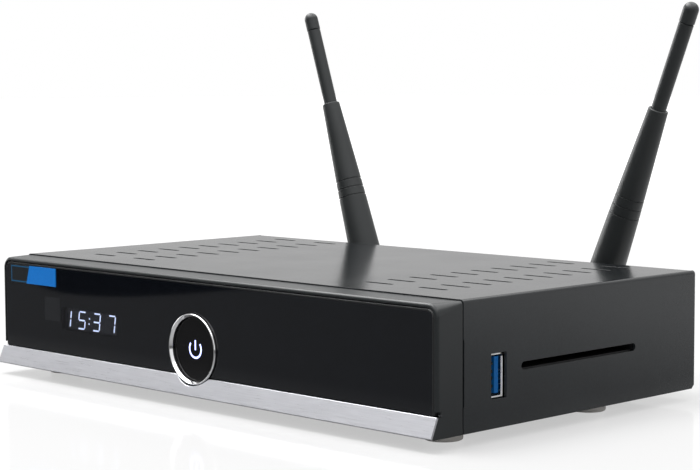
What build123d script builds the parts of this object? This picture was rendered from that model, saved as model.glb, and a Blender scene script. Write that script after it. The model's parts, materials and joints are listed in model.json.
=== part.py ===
from build123d import *
import math
import os

# Satellite tv receiver with two hinged aerials. Millimetres.
# While modelling, X points right as seen from the front, Y points to the rear with 0 at the
# cover's front edge, and Z points up with 0 at the case's underside. On export every sub-part
# is shifted so that the origin is the middle of the whole footprint, at the underside of the feet.

# ---- Case sheet metal ----
case_width = 220.0
case_height = 40.0
cover_depth = 116.4
sheet = 1.0
cover_bend_radius = 1.2
cover_lip_height = 7.0
cover_corner_cut = 1.3
tray_flange_height = 6.5
tray_wall_setback = 2.2
sheet_gap = 0.1
rear_flange_depth = 8.0
rear_flange_width = 150.0

# ---- Vent slots ----
vent_length = 12.0
vent_width = 1.2
vent_rows = 10
vent_first_row = 15.8
vent_rear_gap = 9.7
vent_side_gaps = (50.0, 26.7)
floor_vent_columns = (15.0, 38.0)

# ---- Front bezel ----
bezel_depth = 11.3
bezel_drop = 0.4
bezel_corner_radius = 4.0
bezel_wall = 2.2
bezel_lip = 1.2
bezel_edge_round = 1.0
bezel_seam = 0.35
bezel_tongue_reach = 2.0
bezel_tongue_inset = 1.2
seam_relief = (8.0, 28.0)
seam_relief_depth = 0.3
corner_notch_height = 1.4
corner_notch_depth = 1.7

# ---- Silver trim strip on the bezel's sloping foot ----
trim_top_height = 6.64
trim_bottom_height = 0.46
trim_top_reach = 0.3
trim_flare = 2.66
trim_thickness = 0.8
foot_chamfer = 0.7

# ---- Front panel: carrier, glossy window and badge ----
panel_gap = 0.25
panel_border = 0.7
border_bevel = 0.35
panel_setback = 0.1
window_thickness = 1.5
window_lift = 0.45
carrier_back = 1.3
badge_width = 28.0
badge_height = 6.6
badge_side_gap = 5.2
badge_top_gap = 0.25
badge_thickness = 0.3

# ---- Power key ----
key_height = 15.65
key_play = 0.1
ring_radius = 11.9
ring_bore_radius = 10.8
ring_stand_out = 1.0
ring_shoulder = 0.4
ring_slope = 0.6
ring_slope_depth = 0.9
ring_round = 0.3
ring_gap = 0.2
cap_gap = 0.2
cap_setback = 1.8
cap_face = 0.8
cap_wall = 1.4
cap_flange = 0.5
cap_flange_length = 0.7
key_travel = 0.5
symbol_radius = 3.3
symbol_stroke = 0.7
symbol_opening = 104.0
symbol_bar_foot = -0.4
symbol_bar_top = 2.95
symbol_gap = 0.03
guide_radius = 5.0
guide_thickness = 0.6
stem_radius = 1.6
stem_drop = 7.0

# ---- Front board and what stands on it ----
board_thickness = 1.6
front_board_gap = 4.9
front_board_side_gap = 15.0
front_board_right = 35.0
front_board_inset = 1.6
post_radius = 2.4
post_inset = 5.0
screw_radius = 1.25
screw_head_radius = 2.5
screw_head_height = 1.6
screw_gap = 0.06
tact_size = 6.2
tact_height = 3.4
plunger_radius = 1.7
plunger_out = 0.7
plunger_in = 1.3
plunger_gap = 0.05
led_size = 3.0
led_height = 1.2
display_side_gap = 50.5
display_height = 19.5
display_width = 33.8
display_tall = 10.8
display_gap = 0.2
digit_pitch = 8.6
digit_width = 4.3
digit_tall = 6.6
digit_stroke = 0.52
digit_slant = 9.0
digit_thickness = 0.1
segment_gap = 0.16
colon_offset = 0.95
infrared_side_gap = 30.0
infrared_width = 5.4
infrared_tall = 7.0
aperture_margin = 0.6

# ---- Flat cable between the two boards ----
ribbon_middle = -30.0
ribbon_width = 12.0
ribbon_thickness = 0.8
ribbon_level = 14.0
ribbon_landing = 6.0
ribbon_foot = 4.0
ribbon_clearance = 2.5

# ---- Main board and what stands on it ----
board_lift = 5.0
board_side_gap = 10.0
board_front = 8.0
board_rear_gap = 2.3
standoff_radius = 2.6
standoff_insets = (8.0, 16.0)
standoff_front_rows = (16.0, 12.5)
standoff_rear_gap = 18.3
standoff_middle = (14.0, 70.0)
processor_size = 27.0
processor_height = 2.2
processor_place = (-30.0, 50.0)
sink_size = 40.0
sink_base = 2.5
sink_height = 14.0
sink_fins = 9
fin_thickness = 1.3
memory_places = ((0.0, 34.0), (0.0, 46.0), (0.0, 58.0), (-18.0, 78.0))
memory_size = (13.0, 9.0, 1.2)
capacitor_radius = 4.0
capacitor_height = 11.5
capacitor_insets = ((12.0, 84.0), (24.0, 84.0), (12.0, 70.0), (36.0, 74.0))
inductor_size = (10.0, 10.0, 5.0)
inductor_insets = ((26.0, 62.0), (12.0, 54.0))
wifi_size = (18.0, 14.0, 3.0)
wifi_place = (31.0, 51.0)

# ---- Rear sockets: size, and place in columns counted from the middle of the rear ----
rear_columns = 44
can_wall = 0.6
capacitor_waist = (1.8, 0.8)
capacitor_groove = 0.3
capacitor_round = 0.5
inductor_chamfer = 1.2
can_height = 14.4
satellite_can_width = 24.0
satellite_can_depth = 40.0
cable_can_margin = 3.2
reader_can_gap = 1.4
socket_height = 7.9
f_column = 7.2
f_radius = 4.7
f_length = 10.0
f_flange_radius = 6.3
f_flange_length = 1.6
f_mouth_radius = 2.9
f_mouth_depth = 3.0
aerial_columns = (15.0, 18.2)
aerial_radius = 5.8
aerial_bore_radius = 4.8
aerial_length = 7.4
aerial_pin_radius = 1.2
centre_hole_radius = 0.6
network_column = -7.6
network_size = (16.0, 21.0, 13.5)
network_bore = (11.8, 14.5, 8.4)
latch_width = 6.0
latch_height = 1.4
network_wires = 8
network_wire_pitch = 1.02
network_wire_half = 0.2
network_wire_run = 8.0
network_wire_drop = 2.6
network_wire_end = 0.4
hdmi_column = -3.6
hdmi_size = (15.0, 12.0, 5.6)
hdmi_wall = 0.45
hdmi_tongue = (11.0, 8.0, 1.0)
hdmi_lift = 1.0
hdmi_corner = 2.0
hdmi_tongue_level = 3.1
usb_size = (13.3, 14.3, 5.92)
usb_wall = 0.4
usb_tongue = (11.1, 13.2, 1.84)
usb_tongue_offset = 0.85
usb_contact = (1.0, 7.0, 0.1)
usb_contact_places = (-3.5, -1.0, 1.0, 3.5)
usb_contact_start = 5.6
usb_root = 1.5
rear_usb_column = 0.2
optical_column = 3.2
optical_size = (9.8, 13.8, 10.0)
optical_bore = (8.0, 9.6, 8.0)
shutter_thickness = 0.6
shutter_gap = 0.2
shutter_pivot_radius = 0.45
pivot_gap = 0.05
pivot_skin = 0.3
shutter_setback = 1.5
av_column = -14.6
av_size = (8.0, 12.0, 9.0)
av_barrel_radius = 3.0
av_barrel_out = 2.0
av_bore_radius = 1.8
av_bore_depth = 14.0
dc_column = -19.6
dc_size = (9.4, 14.2, 11.0)
dc_bore_radius = 3.15
dc_bore_depth = 9.5
dc_pin_radius = 1.05
dc_pin_setback = 1.0
socket_stand_out = 0.3
cutout_gap = 0.2
port_plate_thickness = 0.6
port_plate_border = 2.4
port_window_border = 1.0
rocker_column = -17.1
rocker_height = 20.5
rocker_flange = (10.5, 15.0, 1.5)
rocker_body = (8.8, 13.4, 11.0)
rocker_well = (7.4, 11.2)
rocker_half = 4.7
rocker_crown = 4.6
rocker_waist = 3.3
rocker_foot = 3.0
rocker_tilt = 10.0
rocker_pivot_depth = 2.6
rocker_pivot_radius = 0.8
rocker_side_gap = 0.2
rocker_floor = 1.5
rocker_edge = 0.6

# ---- Side openings ----
side_usb_place = 15.85
side_usb_height = 15.8
side_cut_margin = (0.5, 0.3)
card_slot_start = 26.25
card_slot_end = 83.4
card_slot_height = 17.55
card_slot_gap = 2.5
reader_depth = 46.0
reader_margin = 1.5
reader_tall = 6.6
reader_throat = 1.9
reader_gap = 0.4
reader_leg = 4.0
reader_back = 2.5
reader_side = 2.1
card_pad_pitch = 2.54
card_pad_spread = 3.8
card_pad_depth = 28.0
card_pad = (3.2, 1.6, 0.15)

# ---- Aerials ----
hinge_column = 11.3
aerial_height = 22.0
hinge_reach = 14.0
left_lean = 18.2
right_lean = 21.1
sma_radius = 3.17
sma_gap = 0.06
sma_out = 6.6
sma_flange_radius = 4.5
sma_flange_length = 2.4
sma_tail_radius = 2.0
sma_tail_length = 4.5
sma_nut_size = 8.0
sma_nut_length = 1.8
collar_gap = 0.3
collar_radius = 5.6
knuckle_radius = 6.5
knuckle_round = 6.0
knuckle_gap = 0.15
tongue_thickness = 4.6
hinge_pin_radius = 1.5
hinge_pin_gap = 0.05
hinge_pin_inset = 0.9
collar_ribs = 12
collar_rib_radius = 0.45
collar_rim = 1.2
hinge_shelf = 6.6
sleeve_radii = (6.5, 6.35, 5.6, 5.1, 3.55, 3.3)
sleeve_heights = (6.6, 14.0, 35.5, 46.0, 76.5, 76.9)
groove_places = (37.0, 40.4, 43.8)
groove_width = 0.55
groove_depth = 0.35
rod_radius = 2.65
rod_root = 52.0
rod_end = 108.4
rod_gap = 0.05
cap_neck_radius = 2.4
cap_neck = 0.35
cap_shoulder = 0.6
cap_radius = 2.75
aerial_tip = 116.2
cable_radius = 0.9

# ---- Aerial leads: points as steps across, forward or back, and up ----
left_lead_start = ((0.0, -9.0, 0.0), (6.0, -18.0, 3.0), (19.0, -22.0, 5.0), (37.0, -23.5, 5.5))
left_lead_end = ((-22.0, 29.0, 16.4), (-9.0, 21.0, 13.4), (-2.0, 8.0, 12.0), (0.0, 0.0, 7.0))
right_lead_start = ((0.0, -9.0, 0.0), (-1.0, -19.0, 4.0), (-5.0, -31.0, 6.0))
right_lead_end = ((7.0, 16.0, 14.4), (1.5, 6.0, 11.0), (0.0, 0.0, 6.0))
lead_spread = 0.3

# ---- Feet and cover screws ----
foot_radius = 6.0
foot_height = 4.0
foot_round = 0.6
foot_side_gap = 14.0
foot_front = 6.5
foot_rear_gap = 38.0
cover_screw_radius = 1.5
cover_screw_head_radius = 2.8
cover_screw_head_height = 1.8
cover_screw_length = 5.0
cover_screw_side_gap = 25.0
screw_slot = 0.64
screw_dome = 0.6

# ---- Levels worked out from the sizes above ----
half_width = case_width / 2
inner_half = half_width - sheet - sheet_gap
inner_top = case_height - sheet
rear_face = cover_depth - sheet - sheet_gap
panel_inside = rear_face - sheet
column = case_width / rear_columns
vent_pitch = (cover_depth - vent_rear_gap - vent_first_row) / (vent_rows - 1)
vent_columns = (half_width - vent_side_gaps[0], half_width - vent_side_gaps[1])
screw_reach = half_width - cover_screw_side_gap
cover_screw_places = (-screw_reach, 0.0, screw_reach)
foot_reach = half_width - foot_side_gap
foot_rows = (foot_front, panel_inside - foot_rear_gap)
bezel_top = case_height - bezel_drop
panel_front = -bezel_depth + panel_setback
window_back = panel_front + window_thickness
carrier_rear = window_back + carrier_back
panel_bottom = trim_top_height + panel_gap
window_top = bezel_top - bezel_lip - panel_gap - panel_border
badge_left = -half_width + badge_side_gap
badge_bottom = window_top - badge_top_gap - badge_height
front_board_left = -half_width + front_board_side_gap
display_centre = -half_width + display_side_gap
infrared_centre = -half_width + infrared_side_gap
front_board_face = carrier_rear + front_board_gap
board_bottom = sheet + board_lift
board_top = board_bottom + board_thickness
board_rear = panel_inside - board_rear_gap
board_half_width = half_width - board_side_gap
dc_place = dc_column * column
rocker_place = rocker_column * column
av_place = av_column * column
network_place = network_column * column
hdmi_place = hdmi_column * column
rear_usb_place = rear_usb_column * column
optical_place = optical_column * column
f_place = f_column * column
aerial_places = (aerial_columns[0] * column, aerial_columns[1] * column)
aerial_spacing = hinge_column * column
satellite_can_x = (f_place - satellite_can_width / 2, f_place + satellite_can_width / 2)
cable_can_x = (
    aerial_places[0] - aerial_radius - cable_can_margin,
    aerial_places[1] + aerial_radius + cable_can_margin,
)
reader_rear = card_slot_end + reader_margin
cable_can_depth = panel_inside - reader_rear - reader_can_gap
hinge_y = cover_depth + hinge_reach
rear_reach = hinge_y + knuckle_radius
front_reach = -(bezel_depth + trim_top_reach + trim_flare)
shift_y = -(front_reach + rear_reach) / 2
key_hole_radius = ring_bore_radius - cap_gap + cap_flange + cap_gap
cap_front = panel_front - ring_stand_out + cap_setback
cap_rear = window_back + key_play + cap_flange_length
plunger_tip = front_board_face - tact_height - plunger_out
board_low = bezel_wall + front_board_inset
board_high = bezel_top - bezel_wall - front_board_inset
usb_inner_half = usb_size[0] / 2 - usb_wall
hinge_pin_half = knuckle_radius - hinge_pin_inset
ribbon_window_x = (
    ribbon_middle - ribbon_width / 2 - ribbon_clearance,
    ribbon_middle + ribbon_width / 2 + ribbon_clearance,
)
ribbon_window_z = (ribbon_level - ribbon_clearance, ribbon_level + ribbon_thickness + ribbon_clearance)


def block(x, y, z):
    """A box given by its low and high limits along X, Y and Z."""
    middle = Pos((x[0] + x[1]) / 2, (y[0] + y[1]) / 2, (z[0] + z[1]) / 2)
    return middle * Box(x[1] - x[0], y[1] - y[0], z[1] - z[0])


def rod_y(radius, x, y, z):
    """A cylinder along Y at x, z, between the two limits of y."""
    return Pos(x, (y[0] + y[1]) / 2, z) * Rot(90, 0, 0) * Cylinder(radius, y[1] - y[0])


def rod_x(radius, x, y, z):
    """A cylinder along X at y, z, between the two limits of x."""
    return Pos((x[0] + x[1]) / 2, y, z) * Rot(0, 90, 0) * Cylinder(radius, x[1] - x[0])


def rod_z(radius, x, y, z):
    """A cylinder along Z at x, y, between the two limits of z."""
    return Pos(x, y, (z[0] + z[1]) / 2) * Cylinder(radius, z[1] - z[0])


def prism_x(corners, x):
    """A straight bar along X whose outline is a list of (y, z) corners."""
    outline = make_face(Polyline([(x[0], y, z) for y, z in corners], close=True))
    return extrude(outline, amount=x[1] - x[0], dir=(1, 0, 0))


def prism_y(corners, y):
    """A straight bar along Y whose outline is a list of (x, z) corners."""
    outline = make_face(Polyline([(x, y[0], z) for x, z in corners], close=True))
    return extrude(outline, amount=y[1] - y[0], dir=(0, 1, 0))


def arch_face(y, half, bottom, top, radius):
    """An upright face at y: square bottom corners, top corners rounded by radius."""
    left_turn = (-half + radius, y, top - radius)
    right_turn = (half - radius, y, top - radius)
    slant = radius * math.sqrt(0.5)
    outline = [
        Line((-half, y, bottom), (half, y, bottom)),
        Line((half, y, bottom), (half, y, top - radius)),
        ThreePointArc(
            (half, y, top - radius),
            (right_turn[0] + slant, y, right_turn[2] + slant),
            (half - radius, y, top),
        ),
        Line((half - radius, y, top), (-half + radius, y, top)),
        ThreePointArc(
            (-half + radius, y, top),
            (left_turn[0] - slant, y, left_turn[2] + slant),
            (-half, y, top - radius),
        ),
        Line((-half, y, top - radius), (-half, y, bottom)),
    ]
    return make_face(outline)


def arch_bar(y, half, bottom, top, radius):
    """An arch_face carried straight along Y between the two limits."""
    return extrude(arch_face(y[0], half, bottom, top, radius), amount=y[1] - y[0], dir=(0, 1, 0))


def screw(radius, length, head_radius, head_height):
    """A screw along Z: its shank below Z = 0 and its domed head above."""
    head = Pos(0, 0, head_height / 2) * Cylinder(head_radius, head_height)
    head = fillet(head.edges().group_by(Axis.Z)[-1], screw_dome)
    shank = Pos(0, 0, -length / 2) * Cylinder(radius, length)
    slot = Pos(0, 0, head_height) * Box(head_radius, screw_slot, head_height)
    cross = Pos(0, 0, head_height) * Box(screw_slot, head_radius, head_height)
    return head + shank - slot - cross


def hollow_can(x, y, z, wall):
    """A sheet-metal can that is open underneath."""
    inside = block((x[0] + wall, x[1] - wall), (y[0] + wall, y[1] - wall), (z[0] - 1, z[1] - wall))
    return block(x, y, z) - inside


def round_route(points):
    """A path of straight runs joined by arcs as large as the runs allow. Returns path and radii."""
    vectors = [Vector(*point) for point in points]
    radii = []
    for before, corner, after in zip(vectors, vectors[1:], vectors[2:]):
        turn = (corner - before).get_angle(after - corner)
        shorter = min((corner - before).length, (after - corner).length)
        radii.append(0.45 * shorter / math.tan(math.radians(turn / 2)))
    return FilletPolyline(*points, radius=radii), radii


# ---- Case ----


def vent_field(columns, bottom, top):
    """Solids that cut one field of slots on each side of the middle."""
    cutters = []
    for side in (-1, 1):
        for column in columns:
            for row in range(vent_rows):
                y = vent_first_row + vent_pitch * row
                slot = extrude(SlotOverall(vent_length, vent_width), amount=top - bottom)
                cutters.append(Pos(side * column, y, bottom) * slot)
    return cutters


def make_top_cover():
    """One bent sheet: top, two sides and a short lip folded down at the rear."""
    outer = arch_bar((0, cover_depth), half_width, 0, case_height, cover_bend_radius)
    inner = arch_bar(
        (-1, cover_depth + 1), half_width - sheet, -1, inner_top, cover_bend_radius - sheet
    )
    lip_half = half_width - cover_bend_radius
    lip = block(
        (-lip_half, lip_half),
        (cover_depth - sheet, cover_depth),
        (case_height - cover_lip_height, case_height - sheet / 2),
    )
    cover = outer - inner + lip
    cover -= vent_field(vent_columns, inner_top - 1, case_height + 1)
    usb_y = (usb_size[2] / 2 + side_cut_margin[0], usb_size[0] / 2 + side_cut_margin[1])
    wall = (half_width - sheet - 1, half_width + 1)
    cover -= block(
        wall,
        (side_usb_place - usb_y[0], side_usb_place + usb_y[0]),
        (side_usb_height - usb_y[1], side_usb_height + usb_y[1]),
    )
    slot_middle = (card_slot_start + card_slot_end) / 2
    slot_length = card_slot_end - card_slot_start
    card_slot = extrude(SlotOverall(slot_length, card_slot_gap), amount=sheet + 2)
    cover -= Pos(wall[0], slot_middle, card_slot_height) * Rot(0, 0, 90) * Rot(90, 0, 0) * card_slot
    for side in (-1, 1):
        edge = sorted((side * (half_width - sheet - 1), side * (half_width + 1)))
        corner = [
            (cover_depth + 1, -1),
            (cover_depth + 1, cover_corner_cut + 1),
            (cover_depth - cover_corner_cut - 1, -1),
        ]
        cover -= prism_x(corner, edge)
        cover -= block(edge, (-1, seam_relief_depth), seam_relief)
    for x in cover_screw_places:
        hole_radius = cover_screw_radius + sheet_gap
        hole_z = case_height - cover_lip_height / 2
        cover -= rod_y(hole_radius, x, (cover_depth - sheet - 1, cover_depth + 1), hole_z)
    return cover


def make_chassis_tray():
    """The bottom sheet with a front wall and low side flanges folded up."""
    floor = block((-inner_half, inner_half), (0, panel_inside), (0, sheet))
    wall_y = (tray_wall_setback, tray_wall_setback + sheet)
    wall = arch_bar(wall_y, inner_half, 0, inner_top - sheet_gap, cover_bend_radius - sheet)
    tray = floor + wall
    for side in (-1, 1):
        flange_x = sorted((side * inner_half, side * (inner_half - sheet)))
        tray += block(flange_x, (tray_wall_setback, panel_inside), (0, tray_flange_height))
    tray -= block(ribbon_window_x, (0, wall_y[1] + 1), ribbon_window_z)
    tray -= vent_field(floor_vent_columns, -1, sheet + 1)
    return tray


def shared_sockets():
    """The place, size and lift above the board of the sockets that share the panel's window."""
    return (
        (network_place, network_size, 0),
        (hdmi_place, hdmi_size, hdmi_lift),
        (rear_usb_place, usb_size, 0),
        (optical_place, optical_size, 0),
    )


def around_shared_sockets(border, y):
    """A block between two depths that is wider than the shared sockets' cut-outs by a border."""
    reach = cutout_gap + border
    left = min(place - size[0] / 2 for place, size, lift in shared_sockets()) - reach
    right = max(place + size[0] / 2 for place, size, lift in shared_sockets()) + reach
    high = max(lift + size[2] for place, size, lift in shared_sockets()) + reach
    return block((left, right), y, (board_top - reach, board_top + high))


def socket_cutout(place, size, lift, y):
    """The cut-out between two depths for one socket, a little larger all round."""
    reach = size[0] / 2 + cutout_gap
    low = board_top + lift - cutout_gap
    high = board_top + lift + size[2] + cutout_gap
    return block((place - reach, place + reach), y, (low, high))


def make_port_plate():
    """The thin plate behind the rear panel's window, with a cut-out round each shared socket."""
    plate = around_shared_sockets(port_plate_border, (panel_inside - port_plate_thickness, panel_inside))
    for place, size, lift in shared_sockets():
        plate -= socket_cutout(place, size, lift, (panel_inside - 2 * port_plate_thickness, rear_face))
    return plate


def make_rear_panel():
    """The upright rear sheet with a flange on the tray's floor, a window for the port plate and a
    cut-out round each other socket."""
    sheet_y = (panel_inside, rear_face)
    through = (panel_inside - 1, rear_face + 1)
    panel = arch_bar(sheet_y, inner_half, 0, inner_top - sheet_gap, cover_bend_radius - sheet)
    half = rear_flange_width / 2
    panel += block(
        (-half, half), (panel_inside - rear_flange_depth, panel_inside), (sheet, 2 * sheet)
    )
    panel -= around_shared_sockets(port_window_border, through)
    panel -= socket_cutout(dc_place, dc_size, 0, through)
    rocker_x = rocker_body[0] / 2 + cutout_gap
    rocker_z = rocker_body[1] / 2 + cutout_gap
    panel -= block(
        (rocker_place - rocker_x, rocker_place + rocker_x),
        through,
        (rocker_height - rocker_z, rocker_height + rocker_z),
    )
    panel -= rod_y(av_barrel_radius + cutout_gap, av_place, through, board_top + av_size[2] / 2)
    panel -= rod_y(f_radius + cutout_gap, f_place, through, board_top + socket_height)
    for x in aerial_places:
        panel -= rod_y(aerial_radius + cutout_gap, x, through, board_top + socket_height)
    for x in (-aerial_spacing, aerial_spacing):
        panel -= rod_y(sma_radius + cutout_gap, x, through, aerial_height)
    for x in cover_screw_places:
        hole_z = case_height - cover_lip_height / 2
        panel -= rod_y(cover_screw_radius + screw_gap, x, through, hole_z)
    return panel


def make_feet():
    """Four round rubber feet under the tray."""
    feet = []
    for x in (-foot_reach, foot_reach):
        for y in foot_rows:
            foot = rod_z(foot_radius, x, y, (-foot_height, 0))
            feet.append(fillet(foot.edges().group_by(Axis.Z)[0], foot_round))
    return feet


def make_cover_screws():
    """Three screws through the cover's rear lip into the rear panel."""
    screws = []
    for x in cover_screw_places:
        place = Pos(x, cover_depth, case_height - cover_lip_height / 2) * Rot(-90, 0, 0)
        screws.append(
            place
            * screw(
                cover_screw_radius,
                cover_screw_length,
                cover_screw_head_radius,
                cover_screw_head_height,
            )
        )
    return screws


# ---- Front ----


def trim_line(depth):
    """The slope of the bezel's foot, moved inwards by depth: its top and bottom (y, z)."""
    top = (-bezel_depth - trim_top_reach, trim_top_height)
    bottom = (top[0] - trim_flare, trim_bottom_height)
    length = math.hypot(top[0] - bottom[0], top[1] - bottom[1])
    inward = ((top[1] - bottom[1]) / length, (bottom[0] - top[0]) / length)
    move = (inward[0] * depth, inward[1] * depth)
    return [(top[0] + move[0], top[1] + move[1]), (bottom[0] + move[0], bottom[1] + move[1])]


def make_trim_strip():
    """The silver strip along the sloping foot, cut back round the power key's ring."""
    outer_top, outer_bottom = trim_line(0)
    inner_top_point, inner_bottom = trim_line(trim_thickness)
    corners = [outer_top, outer_bottom, inner_bottom, inner_top_point]
    strip = prism_x(corners, (-half_width, half_width))
    return strip - rod_y(ring_radius + ring_gap, 0, (front_reach - 1, 0), key_height)


def make_front_bezel():
    """The moulded front frame: corners that open out forwards, and a sloping foot."""
    frame = loft(
        [
            arch_face(-bezel_seam, half_width, 0, bezel_top, cover_bend_radius),
            arch_face(-bezel_depth, half_width, 0, bezel_top, bezel_corner_radius),
        ]
    )
    front_edges = frame.edges().group_by(Axis.Y)[0]
    frame = fillet(front_edges.filter_by(lambda edge: edge.center().Z > foot_chamfer), bezel_edge_round)
    slope_top, slope_bottom = trim_line(trim_thickness)
    slope = (slope_top[0] - slope_bottom[0]) / (slope_top[1] - slope_bottom[1])
    slope_foot = slope_top[0] - slope * (slope_top[1] - foot_chamfer)
    foot = prism_x(
        [
            (-bezel_seam, 0),
            (slope_foot + foot_chamfer, 0),
            (slope_foot, foot_chamfer),
            slope_top,
            (-bezel_seam, slope_top[1]),
        ],
        (-half_width, half_width),
    )
    front_cut = block(
        (-half_width - 1, half_width + 1), (-bezel_depth - 1, slope_top[0]), (-1, slope_top[1])
    )
    bezel = (frame - front_cut) + foot
    tongue_half = half_width - bezel_tongue_inset
    tongue_radius = bezel_wall - bezel_tongue_inset
    bezel += arch_bar(
        (-bezel_seam - 1, bezel_tongue_reach),
        tongue_half,
        bezel_tongue_inset,
        bezel_top - bezel_tongue_inset,
        tongue_radius,
    )
    bezel -= arch_bar(
        (-bezel_depth - 1, carrier_rear),
        half_width - bezel_lip,
        slope_top[1],
        bezel_top - bezel_lip,
        bezel_corner_radius - bezel_lip,
    )
    bezel -= block(
        (-half_width + bezel_wall, half_width - bezel_wall),
        (carrier_rear - 1, bezel_tongue_reach + 1),
        (bezel_wall, bezel_top - bezel_wall),
    )
    for side in (-1, 1):
        edge = sorted((side * (half_width - bezel_wall), side * (half_width + 1)))
        notch_y = (-bezel_depth - 1, -bezel_depth + corner_notch_depth)
        notch_z = (slope_top[1], trim_top_height + corner_notch_height)
        bezel -= block(edge, notch_y, notch_z)
    bezel -= rod_y(ring_radius + ring_gap, 0, (front_reach - 1, window_back), key_height)
    bezel -= rod_y(key_hole_radius, 0, (front_reach - 1, 0), key_height)
    return bezel


def make_window_carrier():
    """The plate behind the window, with a bevelled border and posts for the front board."""
    half = half_width - bezel_lip - panel_gap
    top = bezel_top - bezel_lip - panel_gap
    radius = bezel_corner_radius - bezel_lip - panel_gap
    carrier = arch_bar((panel_front, carrier_rear), half, panel_bottom, top, radius)
    outer_edges = carrier.edges().group_by(Axis.Y)[0]
    rim = outer_edges.filter_by(lambda edge: edge.center().Z > panel_bottom + border_bevel)
    carrier = chamfer(rim, border_bevel)
    carrier -= arch_bar(
        (panel_front - 1, window_back),
        half - panel_border,
        panel_bottom - 1,
        top - panel_border,
        radius - panel_border,
    )
    display_left = infrared_centre - infrared_width / 2 - aperture_margin
    display_right = display_centre + display_width / 2 + aperture_margin
    opening_half = display_tall / 2 + aperture_margin
    carrier -= block(
        (display_left, display_right),
        (window_back - 1, carrier_rear + 1),
        (display_height - opening_half, display_height + opening_half),
    )
    carrier -= rod_y(key_hole_radius, 0, (panel_front - 1, carrier_rear + 1), key_height)
    for x, z in post_places():
        carrier += rod_y(post_radius, x, (carrier_rear - 1, front_board_face), z)
        hole_y = (carrier_rear + 1, front_board_face + 1)
        carrier -= rod_y(screw_radius + screw_gap, x, hole_y, z)
    return carrier


def make_front_window():
    """The glossy sheet laid in the carrier, with a round hole for the power key's ring."""
    half = half_width - bezel_lip - panel_gap - panel_border
    radius = bezel_corner_radius - bezel_lip - panel_gap - panel_border
    window = arch_bar((panel_front, window_back), half, panel_bottom, window_top, radius)
    return window - rod_y(ring_radius + ring_gap, 0, (panel_front - 1, 0), key_height)


def make_badge_tile():
    """A small plain tile stuck on the window's top left corner."""
    return block(
        (badge_left, badge_left + badge_width),
        (panel_front - badge_thickness, panel_front),
        (badge_bottom, badge_bottom + badge_height),
    )


def make_power_ring():
    """The ring round the power key: a round shoulder outside, a slope that leads in to the key."""
    front = panel_front - ring_stand_out
    ring = rod_y(ring_radius, 0, (front, window_back), key_height)
    ring -= rod_y(ring_bore_radius, 0, (front - 1, window_back + 1), key_height)
    ring = fillet(ring.edges().group_by(Axis.Y)[0].sort_by(SortBy.RADIUS)[-1], ring_shoulder)
    slope = turned([(ring_bore_radius, 0), (ring_bore_radius + ring_slope, ring_slope_depth)])
    return ring - Pos(0, front + ring_slope_depth, key_height) * Rot(90, 0, 0) * slope


def symbol_bar(margin, y):
    """The upright bar of the standby symbol, grown all round by margin."""
    half = symbol_stroke / 2 + margin
    z = (key_height + symbol_bar_foot - margin, key_height + symbol_bar_top + margin)
    return block((-half, half), y, z)


def symbol_arc(margin, y):
    """The open ring of the standby symbol, grown all round by margin."""
    inside = symbol_radius - symbol_stroke
    arc = rod_y(symbol_radius + margin, 0, y, key_height)
    arc -= rod_y(inside - margin, 0, (y[0] - 1, y[1] + 1), key_height)
    spread = math.radians(symbol_opening / 2)
    reach = symbol_radius + 1
    wedge = prism_y(
        [
            (0, key_height + margin),
            (reach * math.tan(spread), key_height + reach + margin),
            (-reach * math.tan(spread), key_height + reach + margin),
        ],
        (y[0] - 1, y[1] + 1),
    )
    return arc - wedge


def make_power_button():
    """The round key cap: face, skirt, retaining flange and the stem that presses the switch."""
    radius = ring_bore_radius - cap_gap
    cap = rod_y(radius, 0, (cap_front, cap_rear), key_height)
    cap = fillet(cap.edges().group_by(Axis.Y)[0], ring_round)
    cap += rod_y(radius + cap_flange, 0, (cap_rear - cap_flange_length, cap_rear), key_height)
    cap -= rod_y(radius - cap_wall, 0, (cap_front + cap_face, cap_rear + 1), key_height)
    cap -= symbol_bar(0, (cap_front - 1, cap_front + cap_face + 1))
    cap -= symbol_arc(0, (cap_front - 1, cap_front + cap_face + 1))
    stem_y = (cap_front + cap_face / 2, plunger_tip)
    cap += rod_y(stem_radius, 0, stem_y, key_height - stem_drop)
    return cap


def make_light_guide():
    """The clear insert in the cap: a disc with the standby symbol standing on it."""
    back = cap_front + cap_face
    guide = rod_y(guide_radius, 0, (back, back + guide_thickness), key_height)
    guide += symbol_bar(-symbol_gap, (cap_front, back + guide_thickness / 2))
    guide += symbol_arc(-symbol_gap, (cap_front, back + guide_thickness / 2))
    return guide


def make_switch_plunger():
    """The small round plunger that the key's stem pushes into the switch."""
    y = (plunger_tip, plunger_tip + plunger_out + plunger_in)
    return rod_y(plunger_radius, 0, y, key_height - stem_drop)


def make_tact_switch():
    """The body of the push switch on the front board."""
    z = key_height - stem_drop
    half = tact_size / 2
    face = front_board_face - tact_height
    body = block((-half, half), (face, front_board_face), (z - half, z + half))
    well_y = (face - 1, face + plunger_in + key_travel + cap_gap)
    return body - rod_y(plunger_radius + plunger_gap, 0, well_y, z)


def make_standby_led():
    """The small lamp behind the standby symbol."""
    half = led_size / 2
    y = (front_board_face - led_height, front_board_face)
    return block((-half, half), y, (key_height - half / 2, key_height + half / 2))


def post_places():
    """Where the front board is screwed to the carrier's posts: (x, z)."""
    low = board_low + post_inset
    high = board_high - post_inset
    left = front_board_left + post_inset
    right = front_board_right - post_inset
    return [(left, low), (left, high), (right, low), (right, high)]


def make_front_board():
    """The upright circuit board behind the window."""
    y = (front_board_face, front_board_face + board_thickness)
    board = block((front_board_left, front_board_right), y, (board_low, board_high))
    for x, z in post_places():
        board -= rod_y(screw_radius + 2 * screw_gap, x, (y[0] - 1, y[1] + 1), z)
    return board


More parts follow.
